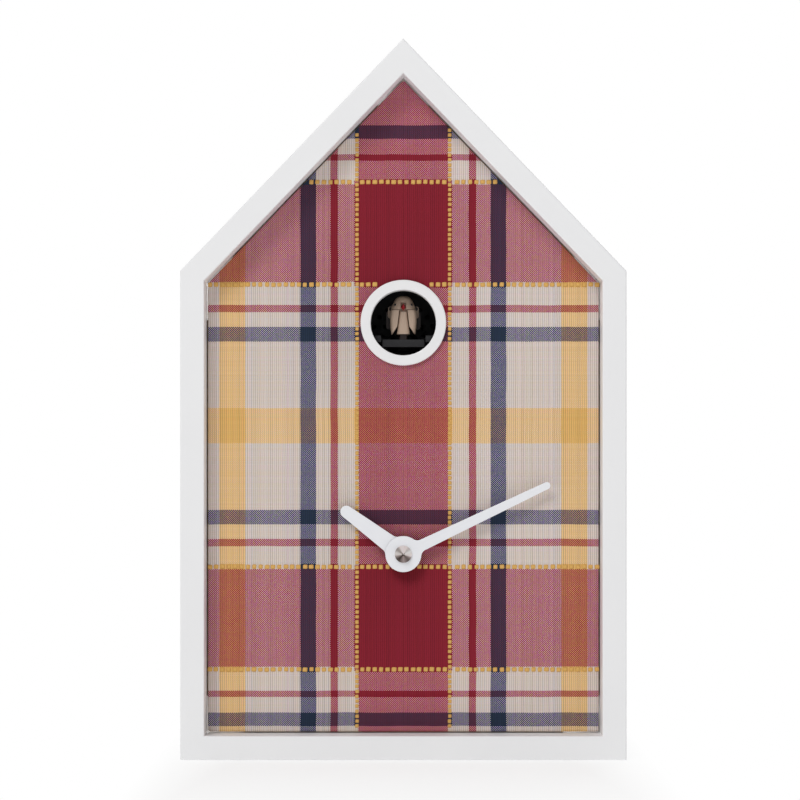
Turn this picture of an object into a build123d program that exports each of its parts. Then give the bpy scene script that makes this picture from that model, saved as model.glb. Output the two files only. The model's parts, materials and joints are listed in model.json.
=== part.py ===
from build123d import *

from math import atan, cos, hypot, pi, radians, sin, tan
import os

# Cuckoo clock: a house-shaped wooden case with a fabric dial, a quartz movement and a bird that
# slides out of a round porthole.
#
# Frame, in millimetres: +X to the right and +Z up, seen from the front, and -Y towards the front.
# The origin is the centre of the hanger's entry hole, in the back plane of the case.
# A "distance" is measured forwards from the back plane, so distance d lies at y = -d.

os.makedirs("parts", exist_ok=True)

# ---------------------------------------------------------------- driving dimensions

# Case
WIDTH = 240
HEIGHT = 388
EAVES_HEIGHT = 263
DEPTH = 100
BOARD = 13
EDGE_ROUND = 0.8
HANGER_HEIGHT = 318
FLOOR_Z = -HANGER_HEIGHT
SLOPE = atan((HEIGHT - EAVES_HEIGHT) / (WIDTH / 2))

# Dial panel and its fabric, set back from the front edge of the case
RECESS = 14
FABRIC = 0.5
PANEL = 4
PANEL_GAP = 0.7
FABRIC_FRONT = DEPTH - RECESS
PANEL_FRONT = FABRIC_FRONT - FABRIC
PANEL_BACK = PANEL_FRONT - PANEL
BATTEN_WIDTH = 10
BATTEN_DEPTH = 12

# Porthole ring
PORTHOLE_Z = FLOOR_Z + 236
RING_OUTER = 23.25
RING_BORE = 17.75
RING_SLEEVE = 21
RING_PROUD = 2

# Hands, in degrees clockwise from twelve o'clock at rest
HANDS_Z = FLOOR_Z + 110.5
HUB_RADIUS = 9.75
MINUTE_LENGTH = 88
MINUTE_ANGLE = 64.5
HOUR_LENGTH = 41.7
HOUR_ANGLE = -53.4
SHAFT_RADIUS = 1.6
HOUR_TUBE_RADIUS = 2.55
BUSH_RADIUS = 4
RUNNING = 0.05

# Quartz movement, around the hands' axis
MODULE_HALF = 28
MODULE_LOW = -30
BAY_TOP = -13.7
MODULE_FRONT = PANEL_BACK - 1
MODULE_BACK = MODULE_FRONT - 14
MODULE_WALL = 1.5
CELL_AA = (7.1, 49.2)

# Cuckoo unit, around the porthole's axis
CHAMBER_HALF = 30
CHAMBER_LOW = -36
CHAMBER_HIGH = 28
CHAMBER_BACK = 22
CHAMBER_WALL = 2
BIRD_TRAVEL = 22
BIRD_DISTANCE = FABRIC_FRONT - 16
PLATE_TOP = -8.6
PLATE_THICK = 4
PLATE_HALF = 11.9
WING_PIN = (7.1, 9.0)

# Rack drive of the bird
RACK_MODULE = 0.8
PINION_TEETH = 10
DRIVE_MODULE = 0.6
DRIVE_TEETH = 25
MOTOR_TEETH = 8
DRIVE_DISTANCE = 48


# ---------------------------------------------------------------- helpers


def export(part, name):
    """Label a finished piece and write it to its own STEP file."""
    part.label = name
    export_step(part, f"parts/{name}.step")


def facing(distance):
    """Sketch plane parallel to the wall: local x is X and local y is Z; extrusions go forwards."""
    return Plane.XZ.offset(distance)


def block(x, distance, z, mode=Mode.ADD):
    """Box between two x values, two distances and two z values."""
    with Locations((sum(x) / 2, -sum(distance) / 2, sum(z) / 2)):
        Box(x[1] - x[0], distance[1] - distance[0], z[1] - z[0], mode=mode)


def rod(x, z, radius, distance, mode=Mode.ADD):
    """Cylinder along Y between two distances."""
    with Locations(Location((x, -sum(distance) / 2, z), (90, 0, 0))):
        Cylinder(radius, distance[1] - distance[0], mode=mode)


def cross_rod(distance, z, radius, x, mode=Mode.ADD):
    """Cylinder along X between two x values."""
    with Locations(Location((sum(x) / 2, -distance, z), (0, 90, 0))):
        Cylinder(radius, x[1] - x[0], mode=mode)


def house_corner(index, inset):
    """Corner of the house outline, moved inwards by an inset; index 0 is at the bottom left."""
    half = WIDTH / 2 - inset
    apex = FLOOR_Z + HEIGHT - inset / cos(SLOPE)
    eaves = apex - half * tan(SLOPE)
    low = FLOOR_Z + inset
    corners = [(-half, low), (half, low), (half, eaves), (0, apex), (-half, eaves)]
    return corners[index % 5]


def house_outline(inset):
    """The whole house outline, moved inwards."""
    with BuildSketch() as outline:
        with BuildLine():
            Polyline(*[house_corner(index, inset) for index in range(5)], close=True)
        make_face()
    return outline.sketch


def board_outline(side, inset, width):
    """One side of the house as a strip whose ends are mitred."""
    ends = [(side, inset), (side + 1, inset), (side + 1, inset + width), (side, inset + width)]
    with BuildSketch() as outline:
        with BuildLine():
            Polyline(*[house_corner(index, depth) for index, depth in ends], close=True)
        make_face()
    return outline.sketch


def gear_outline(teeth, module, turn=0.0, slack=0.16):
    """Gear seen along its axis, with a tooth at the angle turn, in degrees."""
    pitch = teeth * module / 2
    half = 90 / teeth * (1 - slack)
    flank = [
        (pitch - 1.2 * module, 1.45 * half),
        (pitch, half),
        (pitch + 0.55 * module, 0.66 * half),
        (pitch + 0.85 * module, 0.36 * half),
    ]
    points = []
    for tooth in range(teeth):
        centre = turn + tooth * 360 / teeth
        for radius, spread in flank:
            points.append((radius, centre - spread))
        for radius, spread in reversed(flank):
            points.append((radius, centre + spread))
    with BuildSketch() as outline:
        with BuildLine():
            Polyline(
                *[(r * cos(radians(a)), r * sin(radians(a))) for r, a in points], close=True
            )
        make_face()
    return outline.sketch


def mating_turn(direction, turn, teeth, mate_teeth):
    """Angle of a tooth on the gear that meshes, in a direction, with a gear at the angle turn."""
    return direction + 180 + 180 / mate_teeth - (turn - direction) * teeth / mate_teeth


def step_from(centre, radius, direction):
    """Point at a radius and a direction, in degrees, from a centre."""
    return (
        centre[0] + radius * cos(radians(direction)),
        centre[1] + radius * sin(radians(direction)),
    )


def hand_outline(length, hub_width, tip_width):
    """Clock hand that points up from its hub: a tapered blade with a round tip."""
    tip = tip_width / 2
    with BuildSketch() as outline:
        Circle(HUB_RADIUS)
        with BuildLine():
            Polyline(
                (-hub_width / 2, HUB_RADIUS / 2),
                (hub_width / 2, HUB_RADIUS / 2),
                (tip, length - tip),
                (-tip, length - tip),
                close=True,
            )
        make_face()
        with Locations((0, length - tip)):
            Circle(tip)
        corners = outline.vertices().filter_by(
            lambda v: abs(hypot(v.X, v.Y) - HUB_RADIUS) < 0.01 and v.Y > 0
        )
        fillet(corners, 4)
    return outline.sketch


def pan_screw(x, z, head_at, tip_at, radius=1.5):
    """Screw driven forwards: its head lies behind head_at and its point is at tip_at."""
    rod(x, z, 2 * radius, (head_at - 1.8, head_at))
    rod(x, z, radius, (head_at, tip_at))
    block((x - 2 * radius, x + 2 * radius), (head_at - 1.8, head_at - 1), (z - 0.4, z + 0.4),
          mode=Mode.SUBTRACT)


# ---------------------------------------------------------------- case

BOARDS = ["base_board", "right_side_board", "right_roof_board", "left_roof_board",
          "left_side_board"]

for side, name in enumerate(BOARDS):
    with BuildPart() as board:
        with BuildSketch(facing(0)):
            add(board_outline(side, 0, BOARD))
        extrude(amount=DEPTH)
        front = board.faces().sort_by(Axis.Y)[0]
        fillet(front.edges().sort_by(SortBy.LENGTH)[-2:], EDGE_ROUND)
    export(board.part, name)

# Glue strips behind the dial panel, one on each board, that stop short of the corners
BATTEN_BACK = PANEL_BACK - BATTEN_DEPTH
BATTEN_SCREWS = [
    (-WIDTH / 2 + BOARD + 5, FLOOR_Z + 60), (-WIDTH / 2 + BOARD + 5, FLOOR_Z + 200),
    (WIDTH / 2 - BOARD - 5, FLOOR_Z + 60), (WIDTH / 2 - BOARD - 5, FLOOR_Z + 200),
    (-60, FLOOR_Z + BOARD + 5), (60, FLOOR_Z + BOARD + 5),
]
for along in (0.3, 0.7):
    for index in (2, 3):
        start = house_corner(index, BOARD + 5)
        end = house_corner(index + 1, BOARD + 5)
        BATTEN_SCREWS.append(
            (start[0] + along * (end[0] - start[0]), start[1] + along * (end[1] - start[1]))
        )

with BuildPart() as panel_battens:
    with BuildSketch(facing(BATTEN_BACK)):
        for side in range(5):
            add(board_outline(side, BOARD, BATTEN_WIDTH))
        with Locations(*[house_corner(index, BOARD) for index in range(5)]):
            Circle(2 * BATTEN_WIDTH, mode=Mode.SUBTRACT)
        with Locations(*BATTEN_SCREWS):
            Circle(1.5 + RUNNING, mode=Mode.SUBTRACT)
    extrude(amount=BATTEN_DEPTH)
export(panel_battens.part, "panel_battens")

CHAMBER_EARS = [(x, PORTHOLE_Z + z) for x in (-34, 34) for z in (-28, 20)]
HOLDER_LOW = FLOOR_Z + 141
HOLDER_HIGH = FLOOR_Z + 199
HOLDER_EARS = [(x, (HOLDER_LOW + HOLDER_HIGH) / 2) for x in (-33, 33)]

with BuildPart() as dial_panel:
    with BuildSketch(facing(PANEL_BACK)):
        add(house_outline(BOARD + PANEL_GAP + FABRIC))
        with Locations((0, PORTHOLE_Z)):
            Circle(RING_SLEEVE + 0.2, mode=Mode.SUBTRACT)
        with Locations((0, HANDS_Z)):
            Circle(BUSH_RADIUS + 0.2, mode=Mode.SUBTRACT)
    extrude(amount=PANEL)
    for x, z in BATTEN_SCREWS + CHAMBER_EARS + HOLDER_EARS:
        rod(x, z, 1.5 + RUNNING, (PANEL_BACK - 1, PANEL_BACK + 2.6), mode=Mode.SUBTRACT)
export(dial_panel.part, "dial_panel")

with BuildPart() as fabric_face:
    with BuildSketch(facing(PANEL_BACK)):
        add(house_outline(BOARD + PANEL_GAP))
        add(house_outline(BOARD + PANEL_GAP + FABRIC), mode=Mode.SUBTRACT)
    extrude(amount=PANEL)
    with BuildSketch(facing(PANEL_FRONT)):
        add(house_outline(BOARD + PANEL_GAP))
        with Locations((0, PORTHOLE_Z)):
            Circle(RING_SLEEVE + 0.2, mode=Mode.SUBTRACT)
        with Locations((0, HANDS_Z)):
            Circle(BUSH_RADIUS + 0.2, mode=Mode.SUBTRACT)
    extrude(amount=FABRIC)
export(fabric_face.part, "fabric_face")

with BuildPart() as porthole_ring:
    rod(0, PORTHOLE_Z, RING_OUTER, (FABRIC_FRONT, FABRIC_FRONT + RING_PROUD))
    rod(0, PORTHOLE_Z, RING_SLEEVE, (PANEL_BACK - 1, FABRIC_FRONT))
    rod(0, PORTHOLE_Z, RING_BORE, (PANEL_BACK - 1, FABRIC_FRONT + RING_PROUD), mode=Mode.SUBTRACT)
    rim = porthole_ring.faces().sort_by(Axis.Y)[0]
    fillet(rim.edges(), 0.6)
export(porthole_ring.part, "porthole_ring")

# ---------------------------------------------------------------- hanger

RAIL_HALF = 14
RAIL_DEPTH = 15
HANGER_PLATE = 1.5
ENTRY_RADIUS = 4.75
SLOT_RADIUS = 2.25
SLOT_RISE = 9
HANGER_SCREWS = [(-14, 0), (14, 0)]


def rail_half_width(z):
    """Half of the clear width between the roof boards at a height."""
    return (house_corner(3, BOARD)[1] - z) / tan(SLOPE)


with BuildPart() as hanging_rail:
    with BuildSketch(facing(HANGER_PLATE)):
        with BuildLine():
            Polyline(
                (-rail_half_width(-RAIL_HALF), -RAIL_HALF),
                (rail_half_width(-RAIL_HALF), -RAIL_HALF),
                (rail_half_width(RAIL_HALF), RAIL_HALF),
                (-rail_half_width(RAIL_HALF), RAIL_HALF),
                close=True,
            )
        make_face()
        with Locations(*HANGER_SCREWS):
            Circle(1.5 + RUNNING, mode=Mode.SUBTRACT)
    extrude(amount=RAIL_DEPTH)
    # Room for the wall screw's head, which slides up behind the plate
    with BuildSketch(facing(HANGER_PLATE)):
        with Locations((0, SLOT_RISE / 2)):
            SlotOverall(SLOT_RISE + 12, 12, rotation=90)
    extrude(amount=8, mode=Mode.SUBTRACT)
export(hanging_rail.part, "hanging_rail")

with BuildPart() as hanger_plate:
    with BuildSketch(facing(0)):
        with Locations((0, SLOT_RISE / 2)):
            RectangleRounded(38, 24, 4)
        Circle(ENTRY_RADIUS, mode=Mode.SUBTRACT)
        with Locations((0, SLOT_RISE / 2)):
            SlotOverall(SLOT_RISE + 2 * SLOT_RADIUS, 2 * SLOT_RADIUS, rotation=90,
                        mode=Mode.SUBTRACT)
        with Locations(*HANGER_SCREWS):
            Circle(2.9, mode=Mode.SUBTRACT)
    extrude(amount=HANGER_PLATE)
export(hanger_plate.part, "hanger_plate")

with BuildPart() as hanger_screws:
    for x, z in HANGER_SCREWS:
        rod(x, z, 2.8, (0.1, HANGER_PLATE))
        rod(x, z, 1.5, (HANGER_PLATE, HANGER_PLATE + 12))
        block((x - 2, x + 2), (0, 0.8), (z - 0.4, z + 0.4), mode=Mode.SUBTRACT)
export(hanger_screws.part, "hanger_screws")

# ---------------------------------------------------------------- movement: wheels' places

# Each wheel's axis is an (x, z) point from the hands' axis.
CANNON_TEETH, MINUTE_WORK_TEETH, MOTION_MODULE = 12, 36, 0.45
MOTION_REACH = (CANNON_TEETH + MINUTE_WORK_TEETH) * MOTION_MODULE / 2
WORK_PINION_TEETH, HOUR_TEETH = 10, 40
HOUR_MODULE = 2 * MOTION_REACH / (WORK_PINION_TEETH + HOUR_TEETH)
CENTRE_TEETH, LEAVES, CENTRE_MODULE = 45, 6, 0.4
THIRD_TEETH, THIRD_MODULE = 48, 0.33
SECONDS_TEETH, SECONDS_MODULE = 40, 0.3

WORK_DIRECTION = 180
KNOB_DIRECTION = 125
THIRD_DIRECTION = 35
SECONDS_DIRECTION = 80
ROTOR_DIRECTION = 170
WORK_AXIS = step_from((0, 0), MOTION_REACH, WORK_DIRECTION)
KNOB_AXIS = step_from(WORK_AXIS, MOTION_REACH, KNOB_DIRECTION)
THIRD_AXIS = step_from((0, 0), (CENTRE_TEETH + LEAVES) * CENTRE_MODULE / 2, THIRD_DIRECTION)
SECONDS_AXIS = step_from(THIRD_AXIS, (THIRD_TEETH + LEAVES) * THIRD_MODULE / 2, SECONDS_DIRECTION)
# The rotor's pinion stands just clear of the seconds wheel, because that mesh is left open.
ROTOR_AXIS = step_from(SECONDS_AXIS, 8.2, ROTOR_DIRECTION)
TRAIN_AXES = [WORK_AXIS, THIRD_AXIS, SECONDS_AXIS, ROTOR_AXIS]

WORK_TURN = mating_turn(WORK_DIRECTION, 0, CANNON_TEETH, MINUTE_WORK_TEETH)
KNOB_TURN = mating_turn(KNOB_DIRECTION, WORK_TURN, MINUTE_WORK_TEETH, CANNON_TEETH)
HOUR_TURN = mating_turn(0, 0, WORK_PINION_TEETH, HOUR_TEETH)
THIRD_LEAF_TURN = mating_turn(THIRD_DIRECTION, 0, CENTRE_TEETH, LEAVES)
SECONDS_LEAF_TURN = mating_turn(SECONDS_DIRECTION, 0, THIRD_TEETH, LEAVES)

PIVOT_FRONT = MODULE_FRONT - 1.4
PIVOT_BACK = MODULE_BACK - 1
PIVOT_RADIUS = 0.6


def wheel(centre, teeth, module, distance, turn=0.0):
    """Toothed disc of the movement between two distances."""
    with BuildSketch(facing(distance[0])) as face:
        with Locations((centre[0], HANDS_Z + centre[1])):
            add(gear_outline(teeth, module, turn))
    return extrude(face.sketch, amount=distance[1] - distance[0], mode=Mode.PRIVATE)


def arbor(centre, radius, distance, mode=Mode.ADD):
    """Shaft or bore of the movement."""
    rod(centre[0], HANDS_Z + centre[1], radius, distance, mode=mode)


# ---------------------------------------------------------------- movement: housing

with BuildPart() as movement_front_case:
    block((-MODULE_HALF, MODULE_HALF), (MODULE_BACK, MODULE_FRONT),
          (HANDS_Z + MODULE_LOW, HANDS_Z + MODULE_HALF))
    fillet(movement_front_case.edges().filter_by(Axis.Y), 3)
    fillet(movement_front_case.faces().sort_by(Axis.Y)[0].edges(), 0.8)
    inner = (-MODULE_HALF + MODULE_WALL, MODULE_HALF - MODULE_WALL)
    block(inner, (MODULE_BACK, MODULE_FRONT - 2),
          (HANDS_Z + MODULE_LOW + MODULE_WALL, HANDS_Z + BAY_TOP), mode=Mode.SUBTRACT)
    block(inner, (MODULE_BACK, MODULE_FRONT - 2),
          (HANDS_Z + BAY_TOP + MODULE_WALL, HANDS_Z + MODULE_HALF - MODULE_WALL),
          mode=Mode.SUBTRACT)
    arbor((0, 0), BUSH_RADIUS, (MODULE_FRONT - 2, MODULE_FRONT), mode=Mode.SUBTRACT)
    for axis in TRAIN_AXES + [KNOB_AXIS]:
        arbor(axis, PIVOT_RADIUS + RUNNING, (MODULE_FRONT - 2, PIVOT_FRONT + 0.1),
              mode=Mode.SUBTRACT)
export(movement_front_case.part, "movement_front_case")

with BuildPart() as movement_back_cover:
    block((-MODULE_HALF, MODULE_HALF), (MODULE_BACK - MODULE_WALL, MODULE_BACK),
          (HANDS_Z + BAY_TOP, HANDS_Z + MODULE_HALF))
    fillet(movement_back_cover.edges().filter_by(Axis.Y).sort_by(Axis.Z)[-2:], 3)
    fillet(movement_back_cover.faces().sort_by(Axis.Y)[-1].edges(), 0.5)
    arbor((0, 0), 0.8 + RUNNING, (MODULE_BACK - 1.1, MODULE_BACK), mode=Mode.SUBTRACT)
    for axis in TRAIN_AXES:
        arbor(axis, PIVOT_RADIUS + RUNNING, (PIVOT_BACK - 0.1, MODULE_BACK), mode=Mode.SUBTRACT)
    arbor(KNOB_AXIS, 1.5 + RUNNING, (MODULE_BACK - MODULE_WALL, MODULE_BACK), mode=Mode.SUBTRACT)
export(movement_back_cover.part, "movement_back_cover")

with BuildPart() as threaded_bush:
    arbor((0, 0), BUSH_RADIUS, (MODULE_FRONT - 2, FABRIC_FRONT + 3))
    arbor((0, 0), 6.5, (MODULE_FRONT, MODULE_FRONT + 0.8))
    arbor((0, 0), HOUR_TUBE_RADIUS + RUNNING, (MODULE_FRONT - 2, FABRIC_FRONT + 3),
          mode=Mode.SUBTRACT)
    chamfer(threaded_bush.faces().sort_by(Axis.Y)[0].edges().sort_by(SortBy.LENGTH)[-1], 0.4)
export(threaded_bush.part, "threaded_bush")

with BuildPart() as rubber_washer:
    arbor((0, 0), 13, (MODULE_FRONT, PANEL_BACK))
    arbor((0, 0), 6.7, (MODULE_FRONT, PANEL_BACK), mode=Mode.SUBTRACT)
export(rubber_washer.part, "rubber_washer")

with BuildPart() as dial_nut:
    with BuildSketch(facing(FABRIC_FRONT + 0.5)):
        with Locations((0, HANDS_Z)):
            RegularPolygon(6, 6, major_radius=False)
            Circle(BUSH_RADIUS + RUNNING, mode=Mode.SUBTRACT)
    extrude(amount=1.8)
    arbor((0, 0), 7.5, (FABRIC_FRONT, FABRIC_FRONT + 0.5))
    arbor((0, 0), BUSH_RADIUS + RUNNING, (FABRIC_FRONT, FABRIC_FRONT + 0.5), mode=Mode.SUBTRACT)
export(dial_nut.part, "dial_nut")

AA_Z = HANDS_Z + MODULE_LOW + MODULE_WALL + CELL_AA[0] + 0.2
AA_DISTANCE = MODULE_FRONT - 2 - CELL_AA[0] - 0.1

with BuildPart() as movement_cell:
    cross_rod(AA_DISTANCE, AA_Z, CELL_AA[0], (-CELL_AA[1] / 2, CELL_AA[1] / 2))
    fillet(movement_cell.edges().filter_by(GeomType.CIRCLE), 0.6)
    cross_rod(AA_DISTANCE, AA_Z, 2.6, (CELL_AA[1] / 2, CELL_AA[1] / 2 + 1))
export(movement_cell.part, "movement_cell")

with BuildPart() as movement_circuit:
    block((-25, -6), (MODULE_BACK + 2.2, MODULE_BACK + 3.2), (HANDS_Z + 12.5, HANDS_Z + 25.5))
    block((-20, -15), (MODULE_BACK + 1.2, MODULE_BACK + 2.2), (HANDS_Z + 19, HANDS_Z + 24))
    cross_rod(MODULE_BACK + 4.3, HANDS_Z + 15.5, 1.2, (-22, -14))
export(movement_circuit.part, "movement_circuit")

# Stepping motor: the coil's core and the two ends of the stator lie behind the front wall.
STATOR = (MODULE_FRONT - 8, MODULE_FRONT - 7)
COIL_Z = HANDS_Z + 22.5
ROTOR_X, ROTOR_Z = ROTOR_AXIS[0], HANDS_Z + ROTOR_AXIS[1]

with BuildPart() as motor_stator:
    with BuildSketch(facing(STATOR[0])):
        with Locations((ROTOR_X - 8, ROTOR_Z), (ROTOR_X, ROTOR_Z)):
            RectangleRounded(10, 8.6, 1)
        with Locations(*[(ROTOR_X + x, (ROTOR_Z + COIL_Z) / 2) for x in (-15, 2.6)]):
            RectangleRounded(4.6, COIL_Z - ROTOR_Z + 7, 1)
        with Locations((ROTOR_X, ROTOR_Z)):
            Circle(3, mode=Mode.SUBTRACT)
    extrude(amount=STATOR[1] - STATOR[0])
export(motor_stator.part, "motor_stator")

with BuildPart() as motor_coil:
    cross_rod(STATOR[1] + 2.4, COIL_Z, 2.2, (ROTOR_X - 12.6, ROTOR_X - 0.2))
    for x in (ROTOR_X - 13.2, ROTOR_X - 0.4):
        block((x, x + 0.8), (STATOR[1], STATOR[1] + 4.8), (COIL_Z - 2.5, COIL_Z + 2.5))
    cross_rod(STATOR[1] + 2.4, COIL_Z, 0.8, (ROTOR_X - 14.5, ROTOR_X + 1.5))
export(motor_coil.part, "motor_coil")

# ---------------------------------------------------------------- movement: train

HOUR_LAYER = (MODULE_FRONT - 3.6, MODULE_FRONT - 2.6)
WORK_LAYER = (MODULE_FRONT - 5.9, MODULE_FRONT - 4.9)
CENTRE_LAYER = (MODULE_FRONT - 7.8, MODULE_FRONT - 6.8)
THIRD_LAYER = (MODULE_FRONT - 10.2, MODULE_FRONT - 9.2)
SECONDS_LAYER = (MODULE_FRONT - 12, MODULE_FRONT - 11.2)
HOUR_HAND = (FABRIC_FRONT + 3.8, FABRIC_FRONT + 5)
MINUTE_HAND = (FABRIC_FRONT + 5.6, FABRIC_FRONT + 6.6)


def leaf(layer):
    """Distances of a pinion that meshes with a wheel in a layer, a little longer than it."""
    return (layer[0] - 0.2, layer[1] + 0.2)


with BuildPart() as minute_shaft:
    arbor((0, 0), SHAFT_RADIUS, (MODULE_BACK + 0.4, MINUTE_HAND[1]))
    arbor((0, 0), 0.8, (PIVOT_BACK, MODULE_BACK + 0.4))
    arbor((0, 0), 1.25, (MINUTE_HAND[1], MINUTE_HAND[1] + 2.9))
export(minute_shaft.part, "minute_shaft")

with BuildPart() as centre_wheel:
    add(wheel((0, 0), CENTRE_TEETH, CENTRE_MODULE, CENTRE_LAYER))
    arbor((0, 0), 2.2, (CENTRE_LAYER[1], WORK_LAYER[0] - 0.2))
    add(wheel((0, 0), CANNON_TEETH, MOTION_MODULE, leaf(WORK_LAYER)))
    arbor((0, 0), SHAFT_RADIUS + 0.02, (CENTRE_LAYER[0] - 1, WORK_LAYER[1] + 1),
          mode=Mode.SUBTRACT)
export(centre_wheel.part, "centre_wheel")

with BuildPart() as minute_work_wheel:
    add(wheel(WORK_AXIS, MINUTE_WORK_TEETH, MOTION_MODULE, WORK_LAYER, WORK_TURN))
    add(wheel(WORK_AXIS, WORK_PINION_TEETH, HOUR_MODULE, (WORK_LAYER[1], HOUR_LAYER[1] + 0.2)))
    arbor(WORK_AXIS, PIVOT_RADIUS, (PIVOT_BACK, PIVOT_FRONT))
export(minute_work_wheel.part, "minute_work_wheel")

with BuildPart() as hour_wheel:
    add(wheel((0, 0), HOUR_TEETH, HOUR_MODULE, HOUR_LAYER, HOUR_TURN))
    arbor((0, 0), HOUR_TUBE_RADIUS, (HOUR_LAYER[1], HOUR_HAND[1]))
    arbor((0, 0), SHAFT_RADIUS + RUNNING, (HOUR_LAYER[0] - 1, HOUR_HAND[1] + 1),
          mode=Mode.SUBTRACT)
export(hour_wheel.part, "hour_wheel")

with BuildPart() as third_wheel:
    add(wheel(THIRD_AXIS, THIRD_TEETH, THIRD_MODULE, THIRD_LAYER))
    add(wheel(THIRD_AXIS, LEAVES, CENTRE_MODULE, leaf(CENTRE_LAYER), THIRD_LEAF_TURN))
    arbor(THIRD_AXIS, PIVOT_RADIUS, (PIVOT_BACK, PIVOT_FRONT))
export(third_wheel.part, "third_wheel")

with BuildPart() as seconds_wheel:
    add(wheel(SECONDS_AXIS, SECONDS_TEETH, SECONDS_MODULE, SECONDS_LAYER))
    add(wheel(SECONDS_AXIS, LEAVES, THIRD_MODULE, leaf(THIRD_LAYER), SECONDS_LEAF_TURN))
    arbor(SECONDS_AXIS, PIVOT_RADIUS - 0.1, (PIVOT_BACK, PIVOT_FRONT))
export(seconds_wheel.part, "seconds_wheel")

with BuildPart() as motor_rotor:
    arbor(ROTOR_AXIS, 2.4, (STATOR[0] - 0.8, STATOR[1] + 0.8))
    add(wheel(ROTOR_AXIS, LEAVES, SECONDS_MODULE, leaf(SECONDS_LAYER)))
    arbor(ROTOR_AXIS, PIVOT_RADIUS - 0.1, (PIVOT_BACK, PIVOT_FRONT))
export(motor_rotor.part, "motor_rotor")

with BuildPart() as setting_knob:
    add(wheel(KNOB_AXIS, CANNON_TEETH, MOTION_MODULE, leaf(WORK_LAYER), KNOB_TURN))
    arbor(KNOB_AXIS, 1.5, (MODULE_BACK - MODULE_WALL - 0.6, WORK_LAYER[0]))
    arbor(KNOB_AXIS, PIVOT_RADIUS, (WORK_LAYER[1], PIVOT_FRONT))
    knob = (MODULE_BACK - MODULE_WALL - 4.6, MODULE_BACK - MODULE_WALL - 0.6)
    arbor(KNOB_AXIS, 6, knob)
    with BuildSketch(facing(knob[0])):
        with Locations((KNOB_AXIS[0], HANDS_Z + KNOB_AXIS[1])):
            with PolarLocations(6.3, 18):
                Circle(0.6)
    extrude(amount=4, mode=Mode.SUBTRACT)
export(setting_knob.part, "setting_knob")

# ---------------------------------------------------------------- hands


def hand(length, hub_width, tip_width, angle, distance, bore):
    """Flat hand with softened front edges, at an angle clockwise from twelve."""
    with BuildPart() as blade:
        with BuildSketch(facing(distance[0])):
            with Locations(Location((0, HANDS_Z, 0), (0, 0, -angle))):
                add(hand_outline(length, hub_width, tip_width))
        extrude(amount=distance[1] - distance[0])
        fillet(blade.faces().sort_by(Axis.Y)[0].edges(), 0.25)
        arbor((0, 0), bore, distance, mode=Mode.SUBTRACT)
    return blade.part


export(hand(HOUR_LENGTH, 10, 6.6, HOUR_ANGLE, HOUR_HAND, HOUR_TUBE_RADIUS + 0.02), "hour_hand")
export(hand(MINUTE_LENGTH, 6.4, 3.9, MINUTE_ANGLE, MINUTE_HAND, SHAFT_RADIUS + 0.02),
       "minute_hand")

with BuildPart() as hand_nut:
    with BuildSketch(Plane((0, 0, HANDS_Z))):
        with BuildLine():
            base = -MINUTE_HAND[1]
            Polyline((0, base), (4.65, base), (4.65, base - 0.9), (0.45, base - 5.6), (0, base - 5.9),
                     close=True)
        make_face()
    revolve(axis=Axis((0, 0, HANDS_Z), (0, 1, 0)))
    arbor((0, 0), 1.27, (MINUTE_HAND[1], MINUTE_HAND[1] + 3), mode=Mode.SUBTRACT)
export(hand_nut.part, "hand_nut")

# ---------------------------------------------------------------- cuckoo unit: housing

CHAMBER_Z = (PORTHOLE_Z + CHAMBER_LOW, PORTHOLE_Z + CHAMBER_HIGH)
CHAMBER_INNER = CHAMBER_HALF - CHAMBER_WALL
CHAMBER_FLOOR = PORTHOLE_Z + CHAMBER_LOW + CHAMBER_WALL

with BuildPart() as bird_chamber:
    block((-CHAMBER_HALF, CHAMBER_HALF), (CHAMBER_BACK, PANEL_BACK), CHAMBER_Z)
    fillet(bird_chamber.edges().filter_by(Axis.Y), 3)
    block((-CHAMBER_INNER, CHAMBER_INNER), (CHAMBER_BACK, PANEL_BACK),
          (CHAMBER_FLOOR, CHAMBER_Z[1] - CHAMBER_WALL), mode=Mode.SUBTRACT)
    for x, z in CHAMBER_EARS:
        inner = CHAMBER_HALF - 0.5 if x > 0 else -CHAMBER_HALF + 0.5
        block(sorted((inner, x * 38 / 34)), (PANEL_BACK - 3, PANEL_BACK), (z - 5, z + 5))
        rod(x, z, 1.5 + RUNNING, (PANEL_BACK - 3, PANEL_BACK), mode=Mode.SUBTRACT)
export(bird_chamber.part, "bird_chamber")

with BuildPart() as chamber_cover:
    block((-CHAMBER_HALF, CHAMBER_HALF), (CHAMBER_BACK - 2, CHAMBER_BACK), CHAMBER_Z)
    fillet(chamber_cover.edges().filter_by(Axis.Y), 3)
    with BuildSketch(facing(CHAMBER_BACK - 2)):
        with Locations((0, PORTHOLE_Z - 4)):
            Circle(1.5)
            for ring_radius, count in ((6, 6), (12, 12), (18, 18)):
                with PolarLocations(ring_radius, count):
                    Circle(1.5)
    extrude(amount=2, mode=Mode.SUBTRACT)
export(chamber_cover.part, "chamber_cover")

SPEAKER_Z = PORTHOLE_Z - 4
SPEAKER_FRONT = CHAMBER_BACK - 2


def turned(profile, z):
    """Solid of revolution about a Y axis at a height, from (radius, distance) points."""
    with BuildPart() as solid:
        with BuildSketch(Plane((0, 0, z))):
            with BuildLine():
                Polyline(*[(radius, -distance) for radius, distance in profile], close=True)
            make_face()
        revolve(axis=Axis((0, 0, z), (0, 1, 0)))
    return solid.part


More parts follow.
